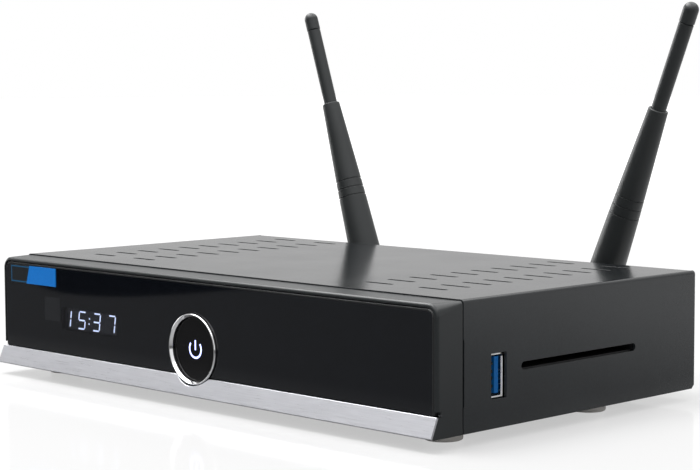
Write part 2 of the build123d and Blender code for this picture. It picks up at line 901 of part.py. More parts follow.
def make_clock_display():
    """The block that holds the four-digit display."""
    half = display_width / 2
    tall = display_tall / 2
    return block(
        (display_centre - half, display_centre + half),
        (window_back + display_gap, front_board_face),
        (display_height - tall, display_height + tall),
    )


def digit_segments(figure):
    """The lit segments of one figure, as centre lines in (x, z) about the figure's middle."""
    half = digit_width / 2 - digit_stroke / 2
    tall = digit_tall / 2 - digit_stroke / 2
    left, right = -half, half
    lines = {
        "top": ((left, tall), (right, tall)),
        "upper_right": ((right, tall), (right, 0)),
        "lower_right": ((right, 0), (right, -tall)),
        "bottom": ((left, -tall), (right, -tall)),
        "lower_left": ((left, 0), (left, -tall)),
        "upper_left": ((left, tall), (left, 0)),
        "middle": ((left, 0), (right, 0)),
    }
    lit = {
        "1": ("upper_right", "lower_right"),
        "3": ("top", "upper_right", "middle", "lower_right", "bottom"),
        "5": ("top", "upper_left", "middle", "lower_right", "bottom"),
        "7": ("top", "upper_right", "lower_right"),
    }
    return [lines[name] for name in lit[figure]]


def segment_bar(start, end, middle_x, y):
    """One pointed segment between two points, leaned over by the display's slant."""
    along = (end[0] - start[0], end[1] - start[1])
    length = math.hypot(*along)
    unit = (along[0] / length, along[1] / length)
    side = (-unit[1], unit[0])
    half = digit_stroke / 2
    near = segment_gap
    far = length - segment_gap
    upper = ((near, 0), (near + half, 1), (far - half, 1))
    lower = ((far, 0), (far - half, -1), (near + half, -1))
    corners = []
    for run, across in upper + lower:
        x = start[0] + unit[0] * run + side[0] * half * across
        z = start[1] + unit[1] * run + side[1] * half * across
        corners.append((middle_x + x + z * math.tan(math.radians(digit_slant)), display_height + z))
    return prism_y(corners, y)


def make_clock_segments():
    """The lit segments of a four-digit clock and the two dots between its pairs."""
    face = window_back + display_gap
    y = (face - digit_thickness, face)
    solids = []
    for index, figure in enumerate("1537"):
        middle_x = display_centre + (index - 1.5) * digit_pitch
        for start, end in digit_segments(figure):
            solids.append(segment_bar(start, end, middle_x, y))
    dot = digit_stroke / 2
    for z in (-colon_offset, colon_offset):
        x = display_centre + z * math.tan(math.radians(digit_slant))
        level = display_height + z
        solids.append(block((x - dot, x + dot), y, (level - dot, level + dot)))
    return solids


def make_infrared_receiver():
    """The remote-control receiver: a small block with a rounded lens."""
    half = infrared_width / 2
    tall = infrared_tall / 2
    lens = half * 0.8
    face = window_back + display_gap + lens
    body = block(
        (infrared_centre - half, infrared_centre + half),
        (face, front_board_face),
        (display_height - tall, display_height + tall),
    )
    return body + Pos(infrared_centre, face, display_height) * Sphere(lens)


def make_ribbon_cable():
    """The flat cable from the front board through the tray's wall down to the main board."""
    start_y = front_board_face + board_thickness
    end_y = board_front + ribbon_landing
    low = board_top + ribbon_thickness
    high = ribbon_level + ribbon_thickness
    corners = [
        (start_y, ribbon_level),
        (end_y - ribbon_thickness, ribbon_level),
        (end_y - ribbon_thickness, board_top),
        (end_y + ribbon_foot, board_top),
        (end_y + ribbon_foot, low),
        (end_y, low),
        (end_y, high),
        (start_y, high),
    ]
    left = ribbon_middle - ribbon_width / 2
    ribbon = prism_x(corners, (left, left + ribbon_width))
    bends = ribbon.edges().filter_by(Axis.X).filter_by(
        lambda edge: abs(edge.center().Y - end_y) < ribbon_thickness * 1.5
        and edge.center().Z > board_top + ribbon_thickness / 2
    )
    return fillet(bends, ribbon_thickness * 0.4)


# ---- Main board ----


def standoff_places():
    """Where the main board is screwed down: (x, y)."""
    rear = panel_inside - standoff_rear_gap
    return [
        (-board_half_width + standoff_insets[0], standoff_front_rows[0]),
        (board_half_width - standoff_insets[1], standoff_front_rows[1]),
        (-aerial_spacing, rear),
        (aerial_spacing, rear),
        standoff_middle,
    ]


def make_main_board():
    """The main circuit board on its standoffs."""
    half = board_half_width
    board = block((-half, half), (board_front, board_rear), (board_bottom, board_top))
    for x, y in standoff_places():
        board -= rod_z(screw_radius + 2 * screw_gap, x, y, (board_bottom - 1, board_top + 1))
    return board


def make_standoffs():
    """Round spacers between the tray's floor and the main board."""
    spacers = []
    for x, y in standoff_places():
        spacer = rod_z(standoff_radius, x, y, (sheet, board_bottom))
        spacers.append(spacer - rod_z(screw_radius + screw_gap, x, y, (sheet + 1, board_bottom + 1)))
    return spacers


def make_board_screws():
    """The screws of the main board, and those of the front board."""
    length = board_thickness + board_lift * 0.6
    one = screw(screw_radius, length, screw_head_radius, screw_head_height)
    solids = [Pos(x, y, board_top) * one for x, y in standoff_places()]
    short = screw(screw_radius, board_thickness + 3.0, screw_head_radius, screw_head_height)
    for x, z in post_places():
        place = Pos(x, front_board_face + board_thickness, z) * Rot(-90, 0, 0)
        solids.append(place * short)
    return solids


def chip(place, size, base):
    """A flat component lying on a surface at height base."""
    half = (size[0] / 2, size[1] / 2)
    x = (place[0] - half[0], place[0] + half[0])
    y = (place[1] - half[1], place[1] + half[1])
    return block(x, y, (base, base + size[2]))


def make_heat_sink():
    """A finned aluminium block on the processor."""
    base = board_top + processor_height
    sink = chip(processor_place, (sink_size, sink_size, sink_base), base)
    pitch = (sink_size - fin_thickness) / (sink_fins - 1)
    for index in range(sink_fins):
        x = processor_place[0] - sink_size / 2 + fin_thickness / 2 + pitch * index
        fin = (fin_thickness, sink_size, sink_height)
        sink += chip((x, processor_place[1]), fin, base)
    return sink


def make_capacitors():
    """Upright round capacitors with a groove near the foot."""
    cans = []
    for inset, y in capacitor_insets:
        x = -board_half_width + inset
        can = rod_z(capacitor_radius, x, y, (board_top, board_top + capacitor_height))
        can = fillet(can.edges().group_by(Axis.Z)[-1], capacitor_round)
        waist = board_top + capacitor_waist[0]
        groove = rod_z(capacitor_radius + 1, x, y, (waist, waist + capacitor_waist[1]))
        groove -= rod_z(capacitor_radius - capacitor_groove, x, y, (waist - 1, waist + 2))
        cans.append(can - groove)
    return cans


def make_inductors():
    """Square moulded coils of the power supply."""
    coils = []
    for inset, y in inductor_insets:
        coil = chip((-board_half_width + inset, y), inductor_size, board_top)
        coils.append(chamfer(coil.edges().filter_by(Axis.Z), inductor_chamfer))
    return coils


def make_antenna_cables():
    """Thin coaxial leads from the two aerial jacks to the radio module."""
    tail = panel_inside - sma_flange_length - sma_tail_length
    landing = board_top + wifi_size[2]
    leads = []
    for name, side, start_steps, end_steps in (
        ("left", -1, left_lead_start, left_lead_end),
        ("right", 1, right_lead_start, right_lead_end),
    ):
        start = (side * aerial_spacing, tail, aerial_height)
        goal = (wifi_place[0] + side * wifi_size[0] * lead_spread, wifi_place[1], landing)
        route = [start]
        route += [tuple(a + b for a, b in zip(start, step)) for step in start_steps]
        route += [tuple(a + b for a, b in zip(goal, step)) for step in end_steps]
        route.append(goal)
        path, radii = round_route(route)
        section = Plane(origin=path @ 0, z_dir=path % 0) * Circle(cable_radius)
        lead = sweep(section, path=path)
        exact = math.pi * cable_radius**2 * path.length
        print(name, "aerial lead", round(path.length, 1), "mm, volume", round(lead.volume / exact, 4))
        print("  bend radii", [round(radius, 1) for radius in radii])
        leads.append(lead)
    return leads


# ---- Rear sockets ----


def make_tuner_can(x, depth):
    """A shielding can on the main board behind the rear panel."""
    height = (board_top, board_top + can_height)
    return hollow_can(x, (panel_inside - depth, panel_inside), height, can_wall)


def make_tuner_connectors():
    """The threaded satellite connector and the two round aerial connectors."""
    z = board_top + socket_height
    barrel = rod_y(f_radius, f_place, (panel_inside, rear_face + f_length), z)
    flange = (rear_face + cutout_gap, rear_face + cutout_gap + f_flange_length)
    barrel += rod_y(f_flange_radius, f_place, flange, z)
    tip = rear_face + f_length
    barrel -= rod_y(f_mouth_radius, f_place, (tip - f_mouth_depth, tip + 1), z)
    barrel -= rod_y(centre_hole_radius, f_place, (tip - 2 * f_mouth_depth, tip + 1), z)
    solids = [barrel]
    for index, x in enumerate(aerial_places):
        tube_y = (panel_inside, rear_face + aerial_length)
        tube = rod_y(aerial_radius, x, tube_y, z)
        tube -= rod_y(aerial_bore_radius, x, (rear_face, tube_y[1] + 1), z)
        pin = rod_y(aerial_pin_radius * (2 - index), x, (rear_face - sheet / 2, tube_y[1] - 1), z)
        if index == 0:
            pin -= rod_y(aerial_pin_radius, x, (rear_face + 1, tube_y[1]), z)
        solids.append(tube + pin)
    return solids


def rear_box(place, size, lift):
    """A socket housing on the main board that just reaches out of the rear panel."""
    x = (place - size[0] / 2, place + size[0] / 2)
    y = (rear_face + socket_stand_out - size[1], rear_face + socket_stand_out)
    return block(x, y, (board_top + lift, board_top + lift + size[2]))


def rear_well(place, size, base):
    """The hollow of a rear socket, from its mouth inwards, with its floor at height base."""
    x = (place - size[0] / 2, place + size[0] / 2)
    mouth = rear_face + socket_stand_out
    return block(x, (mouth - size[1], mouth + 1), (base, base + size[2]))


def make_network_socket():
    """The network jack's housing with its stepped hollow."""
    base = board_top + (network_size[2] - network_bore[2]) / 2
    socket = rear_box(network_place, network_size, 0)
    socket -= rear_well(network_place, network_bore, base)
    latch = (latch_width, network_bore[1], latch_height + 1)
    return socket - rear_well(network_place, latch, base - latch_height)


def make_hdmi_socket():
    """The screen socket's shell, open at the rear, with two lower corners cut off."""
    socket = rear_box(hdmi_place, hdmi_size, hdmi_lift)
    base = board_top + hdmi_lift
    socket = chamfer(socket.edges().filter_by(Axis.Y).group_by(Axis.Z)[0], hdmi_corner)
    inner = (hdmi_size[0] - 2 * hdmi_wall, hdmi_size[1] - hdmi_wall, hdmi_size[2] - 2 * hdmi_wall)
    well = rear_well(hdmi_place, inner, base + hdmi_wall)
    well = chamfer(well.edges().filter_by(Axis.Y).group_by(Axis.Z)[0], hdmi_corner - hdmi_wall / 2)
    legs = rear_box(hdmi_place, (hdmi_size[0] * 0.5, hdmi_size[1] * 0.6, hdmi_lift), 0)
    legs = Pos(0, -hdmi_size[1] * 0.2, 0) * legs
    return socket - well + legs


def make_rear_tongues():
    """The contact tongues inside the rear screen socket and the rear USB port."""
    mouth = rear_face + socket_stand_out
    back = mouth - hdmi_size[1] + hdmi_wall
    middle = board_top + hdmi_lift + hdmi_tongue_level
    half = hdmi_tongue[0] / 2
    tongue = block(
        (hdmi_place - half, hdmi_place + half),
        (back, back + hdmi_tongue[1]),
        (middle - hdmi_tongue[2] / 2, middle + hdmi_tongue[2] / 2),
    )
    return [tongue, rear_usb_frame() * usb_tongue_solid()]


def usb_shell_solid():
    """A USB port's shell. Its mouth faces +X at X = 0, its long side is along Z."""
    long_side, depth, short_side = usb_size
    outer = block(
        (-depth, 0), (-short_side / 2, short_side / 2), (-long_side / 2, long_side / 2)
    )
    half = (short_side / 2 - usb_wall, long_side / 2 - usb_wall)
    return outer - block((-depth + usb_wall, 1), (-half[0], half[0]), (-half[1], half[1]))


def usb_tongue_solid():
    """The plastic tongue inside a USB port, in the shell's own frame."""
    length = usb_size[1] - usb_wall
    half = usb_tongue[0] / 2
    low = usb_tongue_offset - usb_tongue[2] / 2
    tongue = block((-length, usb_tongue[1] - length), (low, low + usb_tongue[2]), (-half, half))
    back_half = usb_size[2] / 2 - usb_wall
    return tongue + block(
        (-length, usb_root - length), (-back_half, back_half), (-usb_inner_half, usb_inner_half)
    )


def usb_contact_solids():
    """Four flat contacts on the tongue, in the shell's own frame."""
    length = usb_size[1] - usb_wall
    low = usb_tongue_offset - usb_tongue[2] / 2
    solids = []
    for place in usb_contact_places:
        z = (place - usb_contact[0] / 2, place + usb_contact[0] / 2)
        x = (usb_contact_start - length, usb_contact_start - length + usb_contact[1])
        solids.append(block(x, (low - usb_contact[2], low), z))
    return solids


def side_usb_frame():
    """Where the side USB port's mouth sits, just inside the cover's right side."""
    return Pos(half_width - sheet - cutout_gap, side_usb_place, side_usb_height)


def rear_usb_frame():
    """Where the rear USB port's mouth sits: its mouth turned to the rear, lying flat."""
    z = board_top + usb_size[2] / 2
    return Pos(rear_usb_place, rear_face + socket_stand_out, z) * Rot(0, 0, 90) * Rot(90, 0, 0)


def make_side_usb_shell():
    """The side USB port's shell with two feet down to the main board."""
    shell = side_usb_frame() * usb_shell_solid()
    mouth = half_width - sheet - cutout_gap
    base = side_usb_height - usb_size[0] / 2
    half = usb_size[2] / 2
    for low in (-half, half - usb_wall):
        y = (side_usb_place + low, side_usb_place + low + usb_wall)
        shell += block((mouth - usb_size[1], board_half_width), y, (board_top, base + usb_wall))
    return shell


def make_optical_socket():
    """The optical audio socket's housing, with holes for the shutter's pivots."""
    base = board_top + (optical_size[2] - optical_bore[2]) / 2
    socket = rear_box(optical_place, optical_size, 0)
    socket -= rear_well(optical_place, optical_bore, base)
    y, z = shutter_axis()
    reach = optical_size[0] / 2 - pivot_skin
    ends = (optical_place - reach, optical_place + reach)
    return socket - rod_x(shutter_pivot_radius + pivot_gap, ends, y, z)


def shutter_axis():
    """The (y, z) of the shutter's pivots, at the top of the optical socket's mouth."""
    top = board_top + (optical_size[2] + optical_bore[2]) / 2
    y = rear_face + socket_stand_out - shutter_thickness / 2 - shutter_setback
    return y, top - shutter_pivot_radius - shutter_gap


def make_optical_shutter():
    """The small flap that closes the optical socket and swings inwards."""
    y, z = shutter_axis()
    half = optical_bore[0] / 2 - shutter_gap
    base = board_top + (optical_size[2] - optical_bore[2]) / 2 + shutter_gap
    thick = shutter_thickness / 2
    x = (optical_place - half, optical_place + half)
    flap = block(x, (y - thick, y + thick), (base, z))
    reach = optical_size[0] / 2 - pivot_skin - pivot_gap
    return flap + rod_x(shutter_pivot_radius, (optical_place - reach, optical_place + reach), y, z)


def make_av_jack():
    """The round sound and picture jack: body, barrel and one long bore."""
    z = board_top + av_size[2] / 2
    half = av_size[0] / 2
    jack = block(
        (av_place - half, av_place + half),
        (panel_inside - av_size[1], panel_inside),
        (board_top, board_top + av_size[2]),
    )
    mouth = rear_face + av_barrel_out
    jack += rod_y(av_barrel_radius, av_place, (panel_inside - 1, mouth), z)
    return jack - rod_y(av_bore_radius, av_place, (mouth - av_bore_depth, mouth + 1), z)


def make_dc_jack():
    """The power inlet's housing with a round hollow."""
    z = board_top + dc_size[2] / 2
    mouth = rear_face + socket_stand_out
    jack = rear_box(dc_place, dc_size, 0)
    return jack - rod_y(dc_bore_radius, dc_place, (mouth - dc_bore_depth, mouth + 1), z)


def make_socket_contacts():
    """Contacts of the network, USB and card sockets, and the power inlet's centre pin."""
    solids = [side_usb_frame() * one for one in usb_contact_solids()]
    solids += [rear_usb_frame() * one for one in usb_contact_solids()]
    mouth = rear_face + socket_stand_out
    ceiling = board_top + (network_size[2] + network_bore[2]) / 2
    back = mouth - network_bore[1]
    corners = [
        (back, ceiling - network_wire_drop),
        (back + network_wire_run, ceiling),
        (back + network_wire_run - 1, ceiling),
        (back, ceiling - network_wire_drop + network_wire_end),
    ]
    for index in range(network_wires):
        x = network_place + (index - (network_wires - 1) / 2) * network_wire_pitch
        solids.append(prism_x(corners, (x - network_wire_half, x + network_wire_half)))
    z = board_top + dc_size[2] / 2
    pin_y = (mouth - dc_bore_depth, mouth - dc_pin_setback)
    solids.append(rod_y(dc_pin_radius, dc_place, pin_y, z))
    floor = card_slot_height - reader_throat / 2
    middle = (card_slot_start + card_slot_end) / 2
    for row in range(4):
        for side in (-1, 1):
            y = middle + (row - 1.5) * card_pad_pitch
            x = half_width - card_pad_depth + side * card_pad_spread
            solids.append(chip((x, y), card_pad, floor))
    return solids


def make_rocker_housing():
    """The rear power switch's frame: flange outside the panel, body inside, with a well."""
    x, z = rocker_flange[0] / 2, rocker_flange[1] / 2
    flange_y = (rear_face, rear_face + rocker_flange[2])
    housing = block(
        (rocker_place - x, rocker_place + x), flange_y, (rocker_height - z, rocker_height + z)
    )
    housing = chamfer(housing.edges().group_by(Axis.Y)[-1], rocker_edge)
    x, z = rocker_body[0] / 2, rocker_body[1] / 2
    body_y = (rear_face - rocker_body[2], rear_face + rocker_flange[2] / 2)
    housing += block(
        (rocker_place - x, rocker_place + x), body_y, (rocker_height - z, rocker_height + z)
    )
    x, z = rocker_well[0] / 2, rocker_well[1] / 2
    well_y = (rear_face - rocker_body[2] + rocker_floor, rear_face + rocker_flange[2] + 1)
    housing -= block(
        (rocker_place - x, rocker_place + x), well_y, (rocker_height - z, rocker_height + z)
    )
    reach = rocker_body[0] / 2 - pivot_skin
    ends = (rocker_place - reach, rocker_place + reach)
    pivot_radius = rocker_pivot_radius + pivot_gap
    return housing - rod_x(pivot_radius, ends, rear_face - rocker_pivot_depth, rocker_height)


def make_power_rocker():
    """The rocking key of the rear switch, tilted to its ON side."""
    corners = [
        (rocker_crown, -rocker_half),
        (rocker_waist, 0),
        (rocker_crown, rocker_half),
        (-rocker_foot, rocker_half * 0.6),
        (-rocker_foot, -rocker_half * 0.6),
    ]
    half = rocker_well[0] / 2 - rocker_side_gap
    rocker = prism_x(corners, (-half, half))
    reach = rocker_body[0] / 2 - pivot_skin - pivot_gap
    rocker += rod_x(rocker_pivot_radius, (-reach, reach), 0, 0)
    place = Pos(rocker_place, rear_face - rocker_pivot_depth, rocker_height)
    return place * Rot(rocker_tilt, 0, 0) * rocker


def make_card_reader():
    """The smart-card reader's frame: a flat box with a throat, on four legs."""
    x = (half_width - sheet - reader_gap - reader_depth, half_width - sheet - reader_gap)
    y = (card_slot_start - reader_margin, reader_rear)
    z = (card_slot_height - reader_tall / 2, card_slot_height + reader_tall / 2)
    reader = block(x, y, z)
    throat = (card_slot_height - reader_throat / 2, card_slot_height + reader_throat / 2)
    reader -= block((x[0] + reader_back, x[1] + 1), (y[0] + reader_side, y[1] - reader_side), throat)
    for leg_x in (x[0], board_half_width - reader_leg):
        for leg_y in (y[0], y[1] - reader_leg):
            leg = ((leg_x, leg_x + reader_leg), (leg_y, leg_y + reader_leg))
            reader += block(leg[0], leg[1], (board_top, z[0] + 1))
    return reader


# ---- Aerials ----


def make_antenna_jacks():
    """Each aerial's threaded jack through the rear panel, and the nut that holds it."""
    solids = []
    for x in (-aerial_spacing, aerial_spacing):
        jack = rod_y(sma_radius, x, (panel_inside - 1, rear_face + sma_out), aerial_height)
        flange = (panel_inside - sma_flange_length, panel_inside)
        jack += rod_y(sma_flange_radius, x, flange, aerial_height)
        tail = (flange[0] - sma_tail_length, flange[0] + 0.5)
        jack += rod_y(sma_tail_radius, x, tail, aerial_height)
        nut = extrude(RegularPolygon(sma_nut_size / 2, 6, major_radius=False), amount=sma_nut_length)
        nut -= Pos(0, 0, sma_nut_length / 2) * Cylinder(sma_radius + screw_gap, sma_nut_length * 2)
        solids += [jack, Pos(x, rear_face, aerial_height) * Rot(-90, 0, 0) * nut]
    return solids


def hinge_frame(side):
    """The hinge's own frame: Z up the aerial, X along the hinge pin, Y to the rear."""
    lean = -left_lean if side < 0 else right_lean
    return Pos(side * aerial_spacing, hinge_y, aerial_height) * Rot(0, lean, 0)


def make_antenna_base(side):
    """The collar that screws on the jack, and the flat tongue round the hinge pin."""
    jack_length = rear_face + sma_out - hinge_y
    collar_start = rear_face + sma_nut_length + collar_gap - hinge_y
    collar_end = -knuckle_round - knuckle_gap - collar_gap
    collar = rod_y(collar_radius, 0, (collar_start, collar_end), 0)
    half = tongue_thickness / 2
    tongue = block((-half, half), (collar_end - 1, 0), (-knuckle_round, knuckle_round))
    tongue &= rod_y(knuckle_round, 0, (collar_end - 2, 1), 0) + block(
        (-half, half), (collar_end + 1, 1), (-knuckle_round, knuckle_round)
    )
    tongue += rod_x(knuckle_round, (-half, half), 0, 0)
    base = collar + tongue
    base -= rod_y(sma_radius + sma_gap, 0, (collar_start - 1, jack_length + collar_gap), 0)
    base -= rod_x(hinge_pin_radius + hinge_pin_gap, (-half - 1, half + 1), 0, 0)
    for index in range(collar_ribs):
        angle = 2 * math.pi * (index + 0.5) / collar_ribs
        x, z = collar_radius * math.cos(angle), collar_radius * math.sin(angle)
        base -= rod_y(collar_rib_radius, x, (collar_start - 1, collar_end - collar_rim), z)
    return hinge_frame(side) * base


def make_antenna_pin(side):
    """The hinge pin through the sleeve's ears and the base's tongue."""
    return hinge_frame(side) * rod_x(hinge_pin_radius, (-hinge_pin_half, hinge_pin_half), 0, 0)


def turned(profile):
    """A solid turned about Z from (radius, height) points; the axis closes it."""
    points = [(0, 0, profile[0][1])]
    points += [(radius, 0, height) for radius, height in profile]
    points.append((0, 0, profile[-1][1]))
    return revolve(make_face(Polyline(points, close=True)), axis=Axis.Z)


def sleeve_radius(height):
    """The radius of the sleeve at one height, straight between the heights that are set."""
    index = 1
    while sleeve_heights[index] < height:
        index += 1
    low, high = sleeve_heights[index - 1], sleeve_heights[index]
    share = (height - low) / (high - low)
    return sleeve_radii[index - 1] * (1 - share) + sleeve_radii[index] * share


def make_antenna_sleeve(side):
    """The tapering sleeve with two ears at its foot and three grooves round it."""
    sleeve = turned(list(zip(sleeve_radii, sleeve_heights)))
    ears = rod_z(knuckle_radius, 0, 0, (-knuckle_round, hinge_shelf))
    plate = block((-knuckle_radius, knuckle_radius), (-knuckle_round, knuckle_round), (0, hinge_shelf))
    plate += rod_x(knuckle_round, (-knuckle_radius, knuckle_radius), 0, 0)
    half = tongue_thickness / 2 + knuckle_gap
    ears = ears & plate
    ears -= block((-half, half), (-knuckle_radius, knuckle_radius), (-knuckle_radius - 1, hinge_shelf))
    sleeve += ears
    for height in groove_places:
        outer = rod_z(knuckle_radius + 1, 0, 0, (height - groove_width / 2, height + groove_width / 2))
        core = rod_z(sleeve_radius(height) - groove_depth, 0, 0, (height - 1, height + 1))
        sleeve -= outer - core
    sleeve -= rod_z(rod_radius + rod_gap, 0, 0, (rod_root, sleeve_heights[-1] + 1))
    sleeve -= rod_x(hinge_pin_radius, (-hinge_pin_half, hinge_pin_half), 0, 0)
    return hinge_frame(side) * sleeve


def make_antenna_rod(side):
    """The slim upper part of the aerial."""
    return hinge_frame(side) * rod_z(rod_radius, 0, 0, (rod_root, rod_end))


def make_antenna_cap(side):
    """The rounded cap on the aerial's tip."""
    straight = aerial_tip - cap_radius
    foot = (cap_neck_radius, 0, rod_end)
    neck = (cap_neck_radius, 0, rod_end + cap_neck)
    shoulder = (cap_radius, 0, rod_end + cap_shoulder)
    outline = [
        Line((0, 0, rod_end), foot),
        Line(foot, neck),
        Line(neck, shoulder),
        Line(shoulder, (cap_radius, 0, straight)),
        ThreePointArc(
            (cap_radius, 0, straight),
            (cap_radius * math.sqrt(0.5), 0, straight + cap_radius * math.sqrt(0.5)),
            (0, 0, aerial_tip),
        ),
        Line((0, 0, aerial_tip), (0, 0, rod_end)),
    ]
    return hinge_frame(side) * revolve(make_face(outline), axis=Axis.Z)


def build():
    """Every sub-part by the name of its node."""
    nodes = {
        "top_cover": make_top_cover(),
        "chassis_tray": make_chassis_tray(),
        "rear_panel": make_rear_panel(),
        "port_plate": make_port_plate(),
        "feet": make_feet(),
        "cover_screws": make_cover_screws(),
        "front_bezel": make_front_bezel(),
        "trim_strip": make_trim_strip(),
        "window_carrier": make_window_carrier(),
        "front_window": make_front_window(),
        "badge_tile": make_badge_tile(),
        "power_ring": make_power_ring(),
        "power_button": make_power_button(),
        "standby_light_guide": make_light_guide(),
        "switch_plunger": make_switch_plunger(),
        "tact_switch": make_tact_switch(),
        "standby_led": make_standby_led(),
        "front_board": make_front_board(),
        "clock_display": make_clock_display(),
        "clock_segments": make_clock_segments(),
        "infrared_receiver": make_infrared_receiver(),
        "ribbon_cable": make_ribbon_cable(),
        "main_board": make_main_board(),
        "board_standoffs": make_standoffs(),
        "board_screws": make_board_screws(),
        "processor": chip(
            processor_place, (processor_size, processor_size, processor_height), board_top
        ),
        "heat_sink": make_heat_sink(),
        "memory_chips": [chip(place, memory_size, board_top) for place in memory_places],
        "capacitors": make_capacitors(),
        "inductors": make_inductors(),
        "wifi_module": chip(wifi_place, wifi_size, board_top),
        "antenna_cables": make_antenna_cables(),
        "satellite_tuner": make_tuner_can(satellite_can_x, satellite_can_depth),
        "cable_tuner": make_tuner_can(cable_can_x, cable_can_depth),
        "tuner_connectors": make_tuner_connectors(),
        "network_socket": make_network_socket(),
        "hdmi_socket": make_hdmi_socket(),
        "rear_usb_shell": rear_usb_frame() * usb_shell_solid(),
        "rear_tongues": make_rear_tongues(),
        "optical_socket": make_optical_socket(),
        "optical_shutter": make_optical_shutter(),
        "av_jack": make_av_jack(),
        "dc_jack": make_dc_jack(),
        "socket_contacts": make_socket_contacts(),
        "rocker_housing": make_rocker_housing(),
        "power_rocker": make_power_rocker(),
        "side_usb_shell": make_side_usb_shell(),
        "side_usb_tongue": side_usb_frame() * usb_tongue_solid(),
        "card_reader": make_card_reader(),
        "antenna_jacks": make_antenna_jacks(),
    }
    for name, side in (("left", -1), ("right", 1)):
        nodes[f"{name}_antenna_base"] = make_antenna_base(side)
        nodes[f"{name}_antenna_pin"] = make_antenna_pin(side)
        nodes[f"{name}_antenna_sleeve"] = make_antenna_sleeve(side)
        nodes[f"{name}_antenna_rod"] = make_antenna_rod(side)
        nodes[f"{name}_antenna_cap"] = make_antenna_cap(side)
    return nodes


os.makedirs("parts", exist_ok=True)
for node, shape in build().items():
    solids = shape if isinstance(shape, list) else [shape]
    placed = Pos(0, shift_y, foot_height) * Compound(children=[Compound(one.solids()) for one in solids])
    export_step(placed, f"parts/{node}.step")
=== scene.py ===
# %% [markdown]
# A flat set-top receiver with two folding aerials.
#
# The construction is already there: every part of the real object comes in as a CAD node, at its
# real size. These cells only dress it. A node whose shape is right keeps its mesh and gets a
# finish; a part whose rounded edges carry the light gets a finer surface in the same place.

# %% Load the frame
import json
import math

import bmesh
import bpy
import numpy as np
from mathutils import Matrix, Vector


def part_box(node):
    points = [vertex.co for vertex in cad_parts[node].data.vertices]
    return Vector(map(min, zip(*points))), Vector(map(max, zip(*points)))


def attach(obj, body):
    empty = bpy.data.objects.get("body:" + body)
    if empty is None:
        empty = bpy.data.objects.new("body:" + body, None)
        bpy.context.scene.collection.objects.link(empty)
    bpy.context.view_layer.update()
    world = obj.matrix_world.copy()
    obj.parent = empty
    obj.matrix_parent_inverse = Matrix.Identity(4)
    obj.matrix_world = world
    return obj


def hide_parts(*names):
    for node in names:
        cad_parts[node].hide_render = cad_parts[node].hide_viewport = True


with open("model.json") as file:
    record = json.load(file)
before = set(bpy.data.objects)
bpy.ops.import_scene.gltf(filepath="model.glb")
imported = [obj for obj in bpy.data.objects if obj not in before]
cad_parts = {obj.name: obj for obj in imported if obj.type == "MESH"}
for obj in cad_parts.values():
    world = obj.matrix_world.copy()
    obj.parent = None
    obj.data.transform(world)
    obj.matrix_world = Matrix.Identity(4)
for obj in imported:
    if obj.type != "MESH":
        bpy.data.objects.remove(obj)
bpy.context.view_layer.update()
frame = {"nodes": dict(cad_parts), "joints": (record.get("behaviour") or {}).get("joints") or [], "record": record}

# %% [markdown]
# The camera comes first, because everything else is judged through it. It stands to the front
# right of the receiver, a little above its lid, with a long lens that keeps the sides nearly
# parallel. A camera looks along its own -Z, so its three axes are worked out from two angles and
# a very small roll.

# %% Camera
CAMERA_PLACE = (0.469337, -0.461646, 0.106768)
CAMERA_HEADING = -0.7931
CAMERA_DROP = 0.0811
CAMERA_ROLL = -0.0045
CAMERA_LENS = 95.062


def camera_axes(heading, drop, roll):
    """Right, up and backward directions. Forward is (sin h cos d, cos h cos d, -sin d), right is
    level, up is their cross product, and the roll turns right and up about forward."""
    level_part = math.cos(drop)
    forward = np.array([math.sin(heading) * level_part, math.cos(heading) * level_part, -math.sin(drop)])
    level = np.array([math.cos(heading), -math.sin(heading), 0.0])
    upward = np.cross(level, forward)
    right = math.cos(roll) * level + math.sin(roll) * upward
    up = -math.sin(roll) * level + math.cos(roll) * upward
    return right, up, -forward


camera = bpy.data.objects.new("camera", bpy.data.cameras.new("camera"))
camera.data.lens = CAMERA_LENS
camera.data.sensor_width = 36.0
camera.data.clip_start = 0.01
camera.data.clip_end = 60.0
turn = np.eye(4)
turn[:3, 0], turn[:3, 1], turn[:3, 2] = camera_axes(CAMERA_HEADING, CAMERA_DROP, CAMERA_ROLL)
turn[:3, 3] = CAMERA_PLACE
camera.matrix_world = Matrix(turn.tolist())
bpy.context.scene.collection.objects.link(camera)
bpy.context.scene.camera = camera
bpy.context.scene.view_settings.view_transform = "Standard"
print("camera at", CAMERA_PLACE)

# %% [markdown]
# All shapes below are written in millimetres, in the case's own frame: X to the right, Y to the
# rear from the seam behind the bezel, Z up from the case's underside. Its origin and its main
# sizes are read from the CAD nodes.

# %% Millimetres in the case's frame
MM = 0.001
cover_low, cover_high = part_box("top_cover")
ORIGIN = np.array([0.0, cover_low.y, cover_low.z])


def to_row(points):
    """Points in millimetres of the case's frame, as metres of the shared frame: scale, then shift."""
    return np.asarray(points, float) * MM + ORIGIN


def span(node):
    """The lowest and highest corner of a CAD node, in millimetres of the case's frame."""
    low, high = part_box(node)
    return (np.array(low) - ORIGIN) / MM, (np.array(high) - ORIGIN) / MM


HALF = span("top_cover")[1][0]
DEPTH = span("top_cover")[1][1]
TOP = span("top_cover")[1][2]
print(f"cover {2 * HALF:.1f} wide, {DEPTH:.1f} deep, {TOP:.1f} high")

# %% [markdown]
# Every new surface is a grid of points and the quads between them. The helpers here make the
# quads, put whole arrays into a mesh, close seams and poles by merging points that coincide, and
# turn the faces outwards.

# %% Grids and meshes


